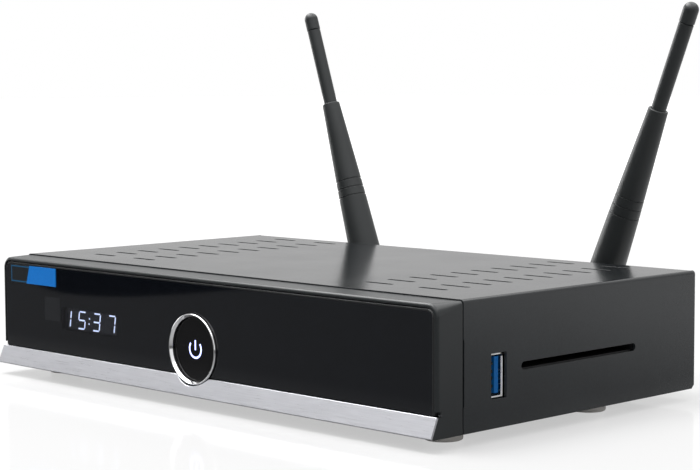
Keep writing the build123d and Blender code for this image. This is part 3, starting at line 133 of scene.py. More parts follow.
def grid_faces(rows, columns, closed_rows=False, closed_columns=False):
    """Quads between neighbours of a grid numbered row by row; a closed side joins last to first."""
    r = np.arange(rows if closed_rows else rows - 1)
    c = np.arange(columns if closed_columns else columns - 1)
    r, c = np.meshgrid(r, c, indexing="ij")
    r2, c2 = (r + 1) % rows, (c + 1) % columns
    quads = np.stack([r * columns + c, r * columns + c2, r2 * columns + c2, r2 * columns + c], axis=-1)
    return quads.reshape(-1, 4).tolist()


def joined(*shells):
    """Several (points, faces) shells as one, each one's face numbers moved past those before it."""
    points, faces, start = [], [], 0
    for shell_points, shell_faces in shells:
        points.append(shell_points)
        faces += [[index + start for index in face] for face in shell_faces]
        start += len(shell_points)
    return np.concatenate(points), faces


def make_object(name, shell, metres=False):
    """A mesh object from a shell, with coinciding points merged and its faces turned outwards."""
    points, faces = shell
    mesh = bpy.data.meshes.new(name)
    mesh.from_pydata(points if metres else to_row(points), [], faces)
    work = bmesh.new()
    work.from_mesh(mesh)
    bmesh.ops.remove_doubles(work, verts=work.verts, dist=1e-7)
    bmesh.ops.dissolve_degenerate(work, edges=work.edges, dist=1e-8)
    bmesh.ops.recalc_face_normals(work, faces=work.faces)
    work.to_mesh(mesh)
    work.free()
    piece = bpy.data.objects.new(name, mesh)
    bpy.context.scene.collection.objects.link(piece)
    return piece


def settle(piece):
    """Turns a piece's modifiers into its final mesh."""
    bpy.context.view_layer.update()
    graph = bpy.context.evaluated_depsgraph_get()
    seen = piece.evaluated_get(graph)
    final = bpy.data.meshes.new_from_object(seen, preserve_all_data_layers=True, depsgraph=graph)
    piece.modifiers.clear()
    piece.data = final
    return piece


def cut(piece, shells, operation="DIFFERENCE"):
    """Takes the shells away from a piece, or adds them, one exact boolean each."""
    for shell in shells:
        tool = make_object("tool", shell)
        change = piece.modifiers.new("cut", "BOOLEAN")
        change.operation = operation
        change.solver = "EXACT"
        change.object = tool
        settle(piece)
        bpy.data.objects.remove(tool)
    return piece


def soften(piece, width, steps=2, angle=38.0):
    """Rounds every edge sharper than the angle by a width in millimetres, then shades by face area."""
    if width:
        edge = piece.modifiers.new("edge", "BEVEL")
        edge.width = width * MM
        edge.segments = steps
        edge.limit_method = "ANGLE"
        edge.angle_limit = math.radians(angle)
        edge.use_clamp_overlap = True
    for polygon in piece.data.polygons:
        polygon.use_smooth = True
    shade = piece.modifiers.new("shade", "WEIGHTED_NORMAL")
    shade.keep_sharp = False
    shade.weight = 60
    return settle(piece)


print("a grid of 3 by 4 points has", len(grid_faces(3, 4)), "quads")

# %% [markdown]
# Four kinds of shape cover almost every part here: an outline with rounded corners, a straight
# bar of such an outline, a turned shape, and the arch that the case and bezel follow.

# %% Outlines, bars and turned shapes


def rounded(corners, radii, steps=6):
    """A closed outline whose corners are arcs. An arc's centre lies on the corner's bisector,
    radius / sin(half angle) from it, and touches both sides radius / tan(half angle) away."""
    corners = np.asarray(corners, float)
    radii = np.broadcast_to(radii, len(corners)).astype(float)[:, None]
    back = np.roll(corners, 1, axis=0) - corners
    ahead = np.roll(corners, -1, axis=0) - corners
    back /= np.linalg.norm(back, axis=1, keepdims=True)
    ahead /= np.linalg.norm(ahead, axis=1, keepdims=True)
    half = np.arccos(np.clip((back * ahead).sum(1, keepdims=True), -1, 1)) / 2
    bisector = (back + ahead) / np.linalg.norm(back + ahead, axis=1, keepdims=True)
    centre = corners + bisector * radii / np.sin(half)
    start = corners + back * radii / np.tan(half) - centre
    side = -np.sign(back[:, :1] * ahead[:, 1:] - back[:, 1:] * ahead[:, :1])
    angle = side * (np.pi - 2 * half) * np.linspace(0, 1, steps + 1)
    x = start[:, :1] * np.cos(angle) - start[:, 1:] * np.sin(angle)
    y = start[:, :1] * np.sin(angle) + start[:, 1:] * np.cos(angle)
    return (np.stack([x, y], axis=-1) + centre[:, None]).reshape(-1, 2)


def circle(radius, centre=(0.0, 0.0), steps=48, start=0.0, end=2 * math.pi, closed=True):
    """Points (centre + radius (cos a, sin a)) for angles from start to end."""
    angle = np.linspace(start, end, steps, endpoint=not closed)
    return np.stack([centre[0] + radius * np.cos(angle), centre[1] + radius * np.sin(angle)], axis=-1)


def bar(outline, low, high, axis):
    """A straight bar: the outline lies across the axis, and both ends are flat faces."""
    others = [i for i in range(3) if i != axis]
    count = len(outline)
    points = np.zeros((2, count, 3))
    points[:, :, others] = outline
    points[0, :, axis] = low
    points[1, :, axis] = high
    ends = [list(range(count)), list(range(count, 2 * count))]
    return points.reshape(-1, 3), grid_faces(2, count, closed_columns=True) + ends


def rectangle(a, b):
    """The corners of a rectangle between two limits along each of its two axes."""
    return np.array([(a[0], b[0]), (a[1], b[0]), (a[1], b[1]), (a[0], b[1])])


def box(x, y, z):
    """A plain block between two limits along each axis."""
    return bar(rectangle(y, z), x[0], x[1], 0)


def turned(profile, segments=96, closed=False):
    """A turned shape about Z: point (r, h) of the profile becomes (r cos a, r sin a, h)."""
    profile = np.asarray(profile, float)
    angle = np.linspace(0, 2 * np.pi, segments, endpoint=False)
    radius = profile[:, :1]
    height = np.repeat(profile[:, 1:], segments, axis=1)
    points = np.stack([radius * np.cos(angle), radius * np.sin(angle), height], axis=-1)
    return points.reshape(-1, 3), grid_faces(len(profile), segments, closed, True)


def moved(shell, matrix):
    """A shell carried by a 4 by 4 matrix."""
    points, faces = shell
    matrix = np.asarray(matrix, float)
    return points @ matrix[:3, :3].T + matrix[:3, 3], faces


def facing_front(place):
    """A matrix that turns local Z to the front, which is -Y, local Y up, and moves to a place."""
    matrix = np.eye(4)
    matrix[:3, 0], matrix[:3, 1], matrix[:3, 2] = (1, 0, 0), (0, 0, 1), (0, -1, 0)
    matrix[:3, 3] = place
    return matrix


def stadium(start, end, across, radius, steps):
    """A slot's outline in the plane of (along, across): two half circles joined by straight sides."""
    quarter = math.pi / 2
    far = circle(radius, (end - radius, across), steps, -quarter, quarter, False)
    near = circle(radius, (start + radius, across), steps, quarter, 3 * quarter, False)
    return np.concatenate([far, near])


def arch(half, bottom, top, radius, steps=10):
    """The line up the left side, round both top corners and down the right side, for single sizes
    or arrays of them: each corner is a quarter circle about (+-(half - radius), top - radius)."""
    half, bottom, top, radius = (np.asarray(v, float)[..., None] for v in (half, bottom, top, radius))
    angle = np.linspace(0, np.pi / 2, steps + 1)
    left_x = -(half - radius) - radius * np.cos(angle)
    z = top - radius + radius * np.sin(angle)
    x = np.concatenate([-half, left_x, -left_x[..., ::-1], half], axis=-1)
    z = np.concatenate([bottom, z, z[..., ::-1], bottom], axis=-1)
    return x, z


print("a rounded square has", len(rounded(rectangle((0, 1), (0, 1)), 0.1)), "points")

# %% [markdown]
# Materials and the world are node trees, and both need the same few steps: feed a socket, do one
# sum, map a range onto another, take a vector apart, and ask what kind of ray has arrived.

# %% Node helpers


class Graph:
    """Short ways to add nodes to a node tree and to link them."""

    def __init__(self, tree):
        self.nodes, self.links = tree.nodes, tree.links

    def feed(self, socket, value):
        """Links a socket's value, or sets a number or a colour."""
        if isinstance(value, bpy.types.NodeSocket):
            self.links.new(value, socket)
        else:
            socket.default_value = value

    def calc(self, operation, first, second):
        """One arithmetic step between two values."""
        node = self.nodes.new("ShaderNodeMath")
        node.operation = operation
        self.feed(node.inputs[0], first)
        self.feed(node.inputs[1], second)
        return node.outputs[0]

    def times(self, first, second):
        """The product of two values."""
        return self.calc("MULTIPLY", first, second)

    def spread(self, value, low, high, start=0.3, end=0.7, smooth=False):
        """Maps a value's range start to end onto low to high, in a straight or an S-shaped line."""
        node = self.nodes.new("ShaderNodeMapRange")
        node.interpolation_type = "SMOOTHSTEP" if smooth else "LINEAR"
        for socket, number in (("From Min", start), ("From Max", end), ("To Min", low), ("To Max", high)):
            node.inputs[socket].default_value = number
        self.links.new(value, node.inputs["Value"])
        return node.outputs["Result"]

    def split(self, vector):
        """The three numbers of a vector."""
        node = self.nodes.new("ShaderNodeSeparateXYZ")
        self.links.new(vector, node.inputs[0])
        return node.outputs

    def ray(self, kind):
        """1 for rays of a kind, such as Camera or Glossy, and 0 for others."""
        return self.nodes.new("ShaderNodeLightPath").outputs[f"Is {kind} Ray"]


# %% [markdown]
# Real products are never one flat colour. A finish starts from Object coordinates, which stay with
# the piece when it moves, and noise made from them drives colour, roughness and bump. A value that
# is the same all over is set on the shader. Every finish is kept under its name.

# %% Material helpers
PLASTIC_IOR = 1.45
FINISHES = {}


class Finish(Graph):
    """A material with its shader, and short ways to add noise, colours and bump to it."""

    def __init__(self, name, roughness, metallic=0.0, specular=0.5):
        FINISHES[name] = self
        self.material = bpy.data.materials.new(name)
        self.material.use_nodes = True
        super().__init__(self.material.node_tree)
        self.shader = self.nodes["Principled BSDF"]
        self.set("Roughness", roughness)
        self.set("Metallic", metallic)
        self.set("IOR", PLASTIC_IOR)
        self.set("Specular IOR Level", specular)
        self.place = self.nodes.new("ShaderNodeTexCoord").outputs["Object"]

    def set(self, socket, value):
        """Sets or drives one of the shader's own sockets."""
        self.feed(self.shader.inputs[socket], value)

    def stretch(self, scale):
        """Object coordinates scaled differently along each axis."""
        node = self.nodes.new("ShaderNodeMapping")
        node.inputs["Scale"].default_value = scale
        self.links.new(self.place, node.inputs["Vector"])
        return node.outputs["Vector"]

    def noise(self, size_mm, detail=2.0, vector=None, roughness=0.5):
        """Noise whose features are about size_mm across."""
        node = self.nodes.new("ShaderNodeTexNoise")
        node.inputs["Scale"].default_value = 1 / (size_mm * MM)
        node.inputs["Detail"].default_value = detail
        node.inputs["Roughness"].default_value = roughness
        self.links.new(vector or self.place, node.inputs["Vector"])
        return node.outputs["Fac"]

    def blend(self, factor, first, second):
        """A colour between two colours, or between two colour sockets."""
        node = self.nodes.new("ShaderNodeMix")
        node.data_type = "RGBA"
        self.links.new(factor, node.inputs[0])
        for socket, colour in ((node.inputs[6], first), (node.inputs[7], second)):
            self.feed(socket, colour if isinstance(colour, bpy.types.NodeSocket) else (*colour, 1.0))
        return node.outputs[2]

    def mixed(self, factor, first, second):
        """Makes the surface a share of one shader and a share of another."""
        node = self.nodes.new("ShaderNodeMixShader")
        for socket, value in zip(node.inputs, (factor, first, second)):
            self.links.new(value, socket)
        self.links.new(node.outputs[0], self.nodes["Material Output"].inputs["Surface"])

    def added(self, first, second):
        """Two shaders on top of each other."""
        node = self.nodes.new("ShaderNodeAddShader")
        self.links.new(first, node.inputs[0])
        self.links.new(second, node.inputs[1])
        return node.outputs[0]

    def gloss(self, roughness, colour=(0.8, 0.8, 0.8)):
        """A shader that only mirrors."""
        node = self.nodes.new("ShaderNodeBsdfGlossy")
        node.inputs["Color"].default_value = (*colour, 1.0)
        node.inputs["Roughness"].default_value = roughness
        return node.outputs[0]

    def bump(self, height, depth_mm):
        """Bump from a height, as deep as depth_mm."""
        node = self.nodes.new("ShaderNodeBump")
        node.inputs["Strength"].default_value = 1.0
        node.inputs["Distance"].default_value = depth_mm * MM
        self.links.new(height, node.inputs["Height"])
        self.set("Normal", node.outputs["Normal"])


# %% [markdown]
# Two families cover nearly every part. Moulded and painted surfaces have a fine grain that is
# alike in all directions, and a broad, slow unevenness. Metal has a grain that may run one way.

# %% Two families of finishes


def moulded(name, dark, light, roughness, grain_mm=0.35, depth_mm=0.01, uneven_mm=18.0, **shader):
    """Plastic, rubber or paint: fine grain in the bump, a little of it in the colour, and a slow
    drift of roughness such as handling and moulding leave."""
    finish = Finish(name, roughness, **shader)
    grain = finish.noise(grain_mm, 3.0)
    drift = finish.noise(uneven_mm)
    both = finish.calc("ADD", finish.times(grain, 0.6), finish.times(drift, 0.4))
    finish.colour = finish.blend(finish.spread(both, 0, 1), dark, light)
    finish.set("Base Color", finish.colour)
    finish.set("Roughness", finish.spread(drift, roughness * 0.9, roughness * 1.1))
    finish.bump(grain, depth_mm)
    return finish


def plated(name, dark, light, roughness, streaks=(1.0, 1.0, 1.0), grain_mm=0.3, depth_mm=0.004):
    """Metal: streaks from noise stretched along one axis drive roughness, colour and bump."""
    finish = Finish(name, roughness, metallic=1.0)
    grain = finish.noise(grain_mm, 4.0, finish.stretch(streaks), 0.65)
    finish.set("Base Color", finish.blend(finish.spread(grain, 0, 1), dark, light))
    finish.set("Roughness", finish.spread(grain, roughness * 0.75, roughness * 1.25))
    finish.bump(grain, depth_mm)


# %% [markdown]
# The finishes, named for the parts that wear them. The cover's powder coat is a fine orange peel
# that spreads highlights; the bezel is rougher but has no peel; the trim is brushed along its
# length, so its noise is stretched along X; the aerials are a soft rubbery plastic.

# %% Finishes
moulded(
    "cover_coat", (0.0165, 0.0185, 0.0205), (0.0225, 0.0255, 0.028), 0.16, 0.45, 0.006, 30.0, specular=0.45
)
moulded(
    "bezel_plastic", (0.017, 0.0195, 0.021), (0.021, 0.0235, 0.025), 0.3, 0.25, 0.002, 30.0, specular=0.42
)
moulded("border_plastic", (0.014, 0.015, 0.016), (0.018, 0.019, 0.02), 0.32, 0.3, 0.002)
moulded("key_gloss", (0.004, 0.004, 0.0045), (0.005, 0.005, 0.0055), 0.09, 0.6, 0.0006, specular=0.25)
moulded("aerial_rubber", (0.017, 0.0195, 0.0205), (0.022, 0.025, 0.026), 0.4, 0.3, 0.003)
moulded("display_black", (0.0035, 0.0038, 0.0045), (0.0045, 0.0048, 0.0055), 0.6, specular=0.05)
moulded("socket_black", (0.008, 0.008, 0.009), (0.012, 0.012, 0.013), 0.42, 0.3, 0.004)
moulded("usb_blue", (0.002, 0.09, 0.3), (0.003, 0.12, 0.38), 0.4, 0.4, 0.003, specular=0.2)
moulded("board_green", (0.008, 0.05, 0.02), (0.012, 0.07, 0.03), 0.35, 1.2, 0.01, 8.0)
moulded("chip_black", (0.01, 0.01, 0.011), (0.018, 0.018, 0.019), 0.55, 0.3, 0.008)
moulded("foot_rubber", (0.78, 0.75, 0.72), (0.84, 0.81, 0.78), 0.45, 0.3, 0.006)
moulded("screw_black", (0.012, 0.012, 0.013), (0.02, 0.02, 0.021), 0.35, 0.25, 0.004, metallic=0.6)
moulded("capacitor_sleeve", (0.008, 0.009, 0.02), (0.012, 0.013, 0.03), 0.35)
moulded("cable_black", (0.012, 0.012, 0.012), (0.02, 0.02, 0.02), 0.5)
moulded("ribbon_white", (0.5, 0.5, 0.48), (0.6, 0.6, 0.58), 0.45, 1.0, 0.01)
plated("trim_silver", (0.56, 0.565, 0.6), (0.65, 0.655, 0.69), 0.34, (0.015, 1.0, 1.0), 0.16, 0.003)
plated("ring_chrome", (0.82, 0.82, 0.83), (0.86, 0.86, 0.87), 0.07, grain_mm=2.0, depth_mm=0.0005)
plated("socket_nickel", (0.55, 0.53, 0.5), (0.68, 0.66, 0.62), 0.24, grain_mm=0.8, depth_mm=0.002)
plated("can_steel", (0.42, 0.42, 0.41), (0.55, 0.55, 0.54), 0.34, (1.0, 0.08, 1.0), 0.3)
plated("sink_aluminium", (0.4, 0.4, 0.41), (0.55, 0.55, 0.56), 0.4, (1.0, 0.05, 1.0), 0.25)
plated("contact_gold", (0.72, 0.46, 0.16), (0.86, 0.6, 0.26), 0.22, grain_mm=0.5)
plated("pin_steel", (0.4, 0.4, 0.4), (0.52, 0.52, 0.52), 0.3)
print("finishes:", len(FINISHES))

# %% [markdown]
# The window is one sheet of black acrylic, polished in front. Over the clock it is only tinted,
# so the figures behind it show, and the print in front of the remote-control eye is a mesh of
# tiny dots. Both zones are cut out of the black by Object coordinates.

# %% Zones and the window's finish
CLOCK_MARGIN, CLOCK_SHOWN = (3.0, 1.0), 0.9
EYE_PATCH, EYE_DOT_PITCH = ((-84.2, -74.6), (18.0, 26.9)), 0.62


def zone(finish, axis, low, high, soft_mm=0.3):
    """1 between two places along an axis of the case's frame, in millimetres, and 0 outside:
    the product of a rise at the low edge and a fall at the high one."""
    value = finish.split(finish.place)[axis]
    low, high = (ORIGIN[axis] + edge * MM for edge in (low, high))
    rise = finish.spread(value, 0, 1, low, low + soft_mm * MM)
    fall = finish.spread(value, 1, 0, high - soft_mm * MM, high)
    return finish.times(rise, fall)


def both_zones(finish, first, second):
    """1 where two zones meet."""
    return finish.times(zone(finish, *first), zone(finish, *second))


def window_finish():
    """Gloss black acrylic, tinted and clear over the clock, dotted over the eye. The dots are
    where sin x times sin z is high."""
    finish = moulded("window_gloss", (0.0036, 0.0044, 0.0062), (0.0043, 0.0052, 0.0072), 0.05, 5.0, 0.0004)
    low, high = span("clock_segments")
    clear = both_zones(
        finish,
        (0, low[0] - CLOCK_MARGIN[0], high[0] + CLOCK_MARGIN[0], 0.8),
        (2, low[2] - CLOCK_MARGIN[1], high[2] + CLOCK_MARGIN[1], 0.8),
    )
    tint = finish.nodes.new("ShaderNodeBsdfTransparent")
    tint.inputs["Color"].default_value = (0.9, 0.92, 0.96, 1.0)
    glass = finish.added(tint.outputs[0], finish.gloss(0.05, (0.055, 0.055, 0.06)))
    finish.mixed(finish.times(clear, CLOCK_SHOWN), finish.shader.outputs[0], glass)
    turns = 2 * math.pi / (EYE_DOT_PITCH * MM)
    x, _, z = finish.split(finish.place)
    waves = [finish.calc("SINE", finish.times(value, turns), 0.0) for value in (x, z)]
    dots = finish.spread(finish.times(*waves), 0, 1, 0.1, 0.5)
    eye = both_zones(finish, (0, *EYE_PATCH[0]), (2, *EYE_PATCH[1]))
    dotted = finish.times(eye, dots)
    finish.set("Base Color", finish.blend(dotted, finish.colour, (0.03, 0.032, 0.036)))


window_finish()
print("window:", len(FINISHES["window_gloss"].nodes), "nodes")

# %% [markdown]
# The side port's shell is nickel-plated sheet. Its rim at the mouth carries a painted highlight, pale and not
# metal, while the inside stays dark, so the rim is told apart by its place.

# %% Finish of the side port
USB_RIM = 0.5
USB_CORNER = (1.2, 1.0)


def usb_finish():
    """Nickel with a painted highlight on the rim at the port's mouth, pale and not metal, apart from the two rear
    corners, where the sheet is bent away from the light."""
    finish = Finish("usb_nickel", 0.24)
    low, high = span("side_usb_shell")
    grain = finish.noise(0.8, 4.0)
    rear = zone(finish, 1, high[1] - USB_CORNER[0], high[1] + 1.0, 0.2)
    straight = zone(finish, 2, low[2] + USB_CORNER[1], high[2] - USB_CORNER[1], 0.2)
    corner = finish.times(rear, finish.calc("SUBTRACT", 1.0, straight))
    mouth = zone(finish, 0, high[0] - USB_RIM, high[0] + 1.0, 0.1)
    painted_rim_highlight = finish.times(mouth, finish.calc("SUBTRACT", 1.0, corner))
    nickel = finish.blend(finish.spread(grain, 0, 1), (0.55, 0.53, 0.5), (0.68, 0.66, 0.62))
    # Painted highlight: the rim zone turns pale and loses its metal, so it reads bright.
    finish.set("Base Color", finish.blend(painted_rim_highlight, nickel, (0.9, 0.9, 0.9)))
    finish.set("Metallic", finish.spread(painted_rim_highlight, 1.0, 0.0, 0.0, 1.0))
    finish.set("Roughness", finish.spread(grain, 0.18, 0.3))


usb_finish()
print("port:", len(FINISHES["usb_nickel"].nodes), "nodes")

# %% [markdown]
# The badge is one printed tile. A print keeps to exact places, so it is drawn with zones and one
# leaning line, and noise only makes its inks a little uneven.

# %% Badge finish
BADGE_SPLIT = 0.39
BADGE_LEAN = 0.3
BADGE_FRAME = (0.3, 0.7)


def badge_finish():
    """A printed tile in two tones with a leaning line between: its left part is dark with a thin
    blue frame, its right part is blue all over. The line is where x - lean times z is constant."""
    finish = Finish("badge_print", 0.3, specular=0.2)
    low, high = span("badge_tile")
    uneven = finish.noise(0.5)
    blue = finish.blend(finish.spread(uneven, 0, 1), (0.002, 0.155, 0.54), (0.004, 0.18, 0.6))
    dark = finish.blend(finish.spread(uneven, 0, 1), (0.012, 0.014, 0.017), (0.016, 0.019, 0.022))
    x, _, z = finish.split(finish.place)
    leaning = finish.calc("ADD", x, finish.times(z, -BADGE_LEAN))
    split_x = ORIGIN[0] + (low[0] + BADGE_SPLIT * (high[0] - low[0])) * MM
    middle = split_x - BADGE_LEAN * (ORIGIN[2] + (low[2] + high[2]) / 2 * MM)
    right = finish.spread(leaning, 0, 1, middle - 0.1 * MM, middle + 0.1 * MM)
    outer, inner = [
        both_zones(finish, (0, low[0] + inset, high[0] + 1.0, 0.1), (2, low[2] + inset, high[2] - inset, 0.1))
        for inset in BADGE_FRAME
    ]
    left = finish.blend(finish.calc("SUBTRACT", outer, inner), dark, (0.01, 0.09, 0.2))
    finish.set("Base Color", finish.blend(right, left, blue))


badge_finish()
print("badge:", len(FINISHES["badge_print"].nodes), "nodes")

# %% [markdown]
# The clock's segments and the standby symbol glow. A lit part is hardly ever even, so a soft
# noise dims it a little in places.

# %% Lit parts


def glowing(name, colour, strength):
    """A lit, slightly uneven surface."""
    finish = Finish(name, 0.4)
    finish.set("Base Color", (*colour, 1.0))
    uneven = finish.noise(1.5)
    tone = finish.blend(finish.spread(uneven, 0, 1), tuple(0.92 * c for c in colour), colour)
    finish.set("Emission Color", tone)
    finish.set("Emission Strength", strength)


glowing("segment_light", (0.74, 0.8, 1.0), 1.0)
glowing("guide_light", (0.45, 0.5, 1.0), 2.2)
print("finishes in all:", len(FINISHES))

# %% [markdown]
# The cover is one sheet of steel, bent down at both sides and folded at the rear. A thin outer
# skin is enough, because Solidify then gives it the sheet's thickness.

# %% Cover sheet
SHEET = 1.0
COVER_BEND = 1.2
REAR_FOLD = 1.3
LIP = 7.0


def cover_skin():
    """The outer skin. Across, it is the arch; along, it runs from the seam to the rear, where
    only the flat top goes on, over a quarter circle and down the lip."""
    x, z = arch(HALF, 0.0, TOP, COVER_BEND)
    stations = np.array([0.0, DEPTH - REAR_FOLD, DEPTH])
    count = len(x)
    points = np.zeros((3, count, 3))
    points[:, :, 0], points[:, :, 2] = x, z
    points[:, :, 1] = stations[:, None]
    faces = grid_faces(3, count)
    top_left = count // 2 - 1
    faces.remove([count + top_left, count + top_left + 1, 2 * count + top_left + 1, 2 * count + top_left])
    angle = np.linspace(0, np.pi / 2, 8)
    fold_y = np.append(DEPTH - REAR_FOLD + REAR_FOLD * np.sin(angle), DEPTH)
    fold_z = np.append(TOP - REAR_FOLD + REAR_FOLD * np.cos(angle), TOP - LIP)
    edge = HALF - COVER_BEND
    lip = np.zeros((len(fold_y), 2, 3))
    lip[:, 0, 0], lip[:, 1, 0] = -edge, edge
    lip[:, :, 1], lip[:, :, 2] = fold_y[:, None], fold_z[:, None]
    return joined((points.reshape(-1, 3), faces), (lip.reshape(-1, 3), grid_faces(len(fold_y), 2)))


cover = make_object("cover_shell", cover_skin())
wall = cover.modifiers.new("wall", "SOLIDIFY")
wall.thickness = SHEET * MM
wall.offset = -1.0
wall.use_even_offset = True
settle(cover)
print("cover sheet:", len(cover.data.polygons), "faces")

# %% [markdown]
# A press punches all the openings. Here each punch is a solid and each stroke a boolean. The forty
# vent slots are one punch, which is much quicker. A fine bevel then leaves the burnished edges.

# %% Cover openings
VENT_LENGTH, VENT_WIDTH = 12.0, 2.0
VENT_ROWS = 15.8 + 10.1 * np.arange(10)
VENT_COLUMNS = (-83.3, -60.0, 60.0, 83.3)
USB_PLACE, USB_HOLE = (15.85, 15.8), (6.92, 13.9)
CARD_START, CARD_END, CARD_HEIGHT, CARD_RADIUS = 26.25, 83.4, 17.55, 1.25
CORNER_CUT = 1.3
SEAM_RELIEF, RELIEF_HEIGHTS = 0.3, (8.0, 28.0)
SCREW_COLUMNS, SCREW_HOLE_RADIUS = (-85, 0, 85), 1.6
# Each punch starts a little outside the sheet and ends well inside it.
PAST = 1
THROUGH = 3


def vent_shell(x, y):
    """The bar that punches one vent slot through the top."""
    outline = stadium(x - VENT_LENGTH / 2, x + VENT_LENGTH / 2, y, VENT_WIDTH / 2, 9)
    return bar(outline, TOP - THROUGH, TOP + PAST, 2)


def corner_punch(side):
    """The wedge that cuts off a side's lower rear corner at 45 degrees."""
    leg = CORNER_CUT + PAST
    wedge = np.array([(DEPTH + PAST, -PAST), (DEPTH + PAST, leg), (DEPTH - leg, -PAST)])
    return bar(wedge, side * HALF - THROUGH, side * HALF + THROUGH, 0)


vents = joined(*[vent_shell(x, y) for x in VENT_COLUMNS for y in VENT_ROWS])
usb_sides = [(place - size / 2, place + size / 2) for place, size in zip(USB_PLACE, USB_HOLE)]
usb_punch = box((HALF - THROUGH, HALF + PAST), *usb_sides)
card_punch = bar(stadium(CARD_START, CARD_END, CARD_HEIGHT, CARD_RADIUS, 12), HALF - THROUGH, HALF + PAST, 0)
sides = [(side * HALF - THROUGH, side * HALF + THROUGH) for side in (-1, 1)]
relief = [box(across, (-PAST, SEAM_RELIEF), RELIEF_HEIGHTS) for across in sides]
screw_outlines = [circle(SCREW_HOLE_RADIUS, (x, TOP - LIP / 2), 24) for x in SCREW_COLUMNS]
screw_holes = [bar(outline, DEPTH - THROUGH, DEPTH + PAST, 1) for outline in screw_outlines]
cut(cover, [vents, usb_punch, card_punch, corner_punch(-1), corner_punch(1), *relief, *screw_holes])
soften(cover, 0.12)
print("cover:", len(cover.data.polygons), "faces")

# %% [markdown]
# The bezel is one moulding. Its frame is a wall section carried along the arch, and the corners
# open out towards the front. The front edge is rounded, and that thin line catches the light.

# %% Bezel frame
carrier_low, _ = span("window_carrier")
LIP_AHEAD, CARRIER_THICK, TOP_STEP = 0.1, 2.8, 0.4
BEZEL_FRONT = carrier_low[1] - LIP_AHEAD
CARRIER_REAR = carrier_low[1] + CARRIER_THICK
BEZEL_TOP = TOP - TOP_STEP
SEAM = -0.35
LIP_WIDTH, LIP_ROUND = 1.2, 1.0
BEZEL_WALL = 2.2
TONGUE_INSET, TONGUE_END = 1.2, 2.0
BEZEL_CORNER = 4.0


def bezel_frame():
    """The frame as a grid: round the closed wall section one way, along the arch the other. The
    arch's corner radius grows from the seam to the front edge, less the section's inset."""
    corners = [(0, SEAM), (0, BEZEL_FRONT), (LIP_WIDTH, BEZEL_FRONT), (LIP_WIDTH, CARRIER_REAR)]
    corners += [(BEZEL_WALL, CARRIER_REAR), (BEZEL_WALL, TONGUE_END)]
    corners += [(TONGUE_INSET, TONGUE_END), (TONGUE_INSET, SEAM)]
    section = rounded(corners, [0.15, LIP_ROUND, 0.08, 0.05, 0.05, 0.1, 0.1, 0.05], 8)
    inset, y = section[:, 0], section[:, 1]
    share = np.clip((SEAM - y) / (SEAM - BEZEL_FRONT), 0, 1)
    radius = np.maximum(COVER_BEND + (BEZEL_CORNER - COVER_BEND) * share - inset, 0.3)
    x, z = arch(HALF - inset, np.zeros_like(inset), BEZEL_TOP - inset, radius, 12)
    count = x.shape[1]
    points = np.stack([x, np.repeat(y[:, None], count, axis=1), z], axis=-1)
    rows = len(section)
    ends = [[r * count for r in range(rows)], [r * count + count - 1 for r in range(rows)]]
    return points.reshape(-1, 3), grid_faces(rows, count, closed_rows=True) + ends


bezel = make_object("bezel_shell", bezel_frame())
print("bezel frame:", len(bezel.data.polygons), "faces, front at", round(float(BEZEL_FRONT), 2))

# %% [markdown]
# The foot under the frame slopes forwards and carries the silver strip on its seat. A round bite
# makes room for the ring, a smaller one for the key behind it, and a small step at each end
# clears the lower corners of the window.

# %% Bezel foot and openings
FOOT_CHAMFER = 0.7
TRIM_TOP = np.array([-11.6, 6.64])
TRIM_BOTTOM = np.array([-14.26, 0.46])
TRIM_THICK = 0.8
RING_CLEAR, KEY_CLEAR = 12.1, 11.3
BITE_FRONT, RING_BITE_REAR = -16, -9.7
NOTCH_FRONT, NOTCH_REAR, NOTCH_TOP = -12.3, -9.6, 8.04
slope = (TRIM_BOTTOM - TRIM_TOP) / np.linalg.norm(TRIM_BOTTOM - TRIM_TOP)
inward = np.array([-slope[1], slope[0]])
seat_top = TRIM_TOP + TRIM_THICK * inward
seat_foot_y = seat_top[0] - (seat_top[1] - FOOT_CHAMFER) * slope[0] / slope[1]
ring_low, ring_high = span("power_ring")
KEY_HEIGHT = (ring_low[2] + ring_high[2]) / 2


def foot_shell():
    """The wedge under the frame, with the sloping seat of the silver strip."""
    corners = [(SEAM, 0), (seat_foot_y + FOOT_CHAMFER, 0), (seat_foot_y, FOOT_CHAMFER), tuple(seat_top)]
    corners += [(CARRIER_REAR - 1, seat_top[1]), (CARRIER_REAR - 1, BEZEL_WALL), (SEAM, BEZEL_WALL)]
    return bar(rounded(corners, [0.1, 0.3, 0.3, 0.05, 0.05, 0.4, 0.1], 4), -HALF, HALF, 0)


def notch_shell(side):
    """The small step at each end, between the foot and the window's lower corner."""
    across = sorted((side * (HALF - BEZEL_WALL), side * (HALF + PAST)))
    return box(across, (NOTCH_FRONT, NOTCH_REAR), (seat_top[1], NOTCH_TOP))


cut(bezel, [foot_shell()], "UNION")
ring_room = bar(circle(RING_CLEAR, (0, KEY_HEIGHT), 72), BITE_FRONT, RING_BITE_REAR, 1)
key_room = bar(circle(KEY_CLEAR, (0, KEY_HEIGHT), 72), BITE_FRONT, 0, 1)
cut(bezel, [notch_shell(-1), notch_shell(1), ring_room, key_room])
soften(bezel, 0.08, 2, 34.0)
print("bezel:", len(bezel.data.polygons), "faces, key height", round(float(KEY_HEIGHT), 2))

# %% [markdown]
# The silver strip is a slim extrusion. Its top edge is cut back round the power key, so its
# height changes along the way: the section is carried along X, and its upper half is lowered to
# the circle wherever the circle comes below the strip's own top.

# %% Trim strip


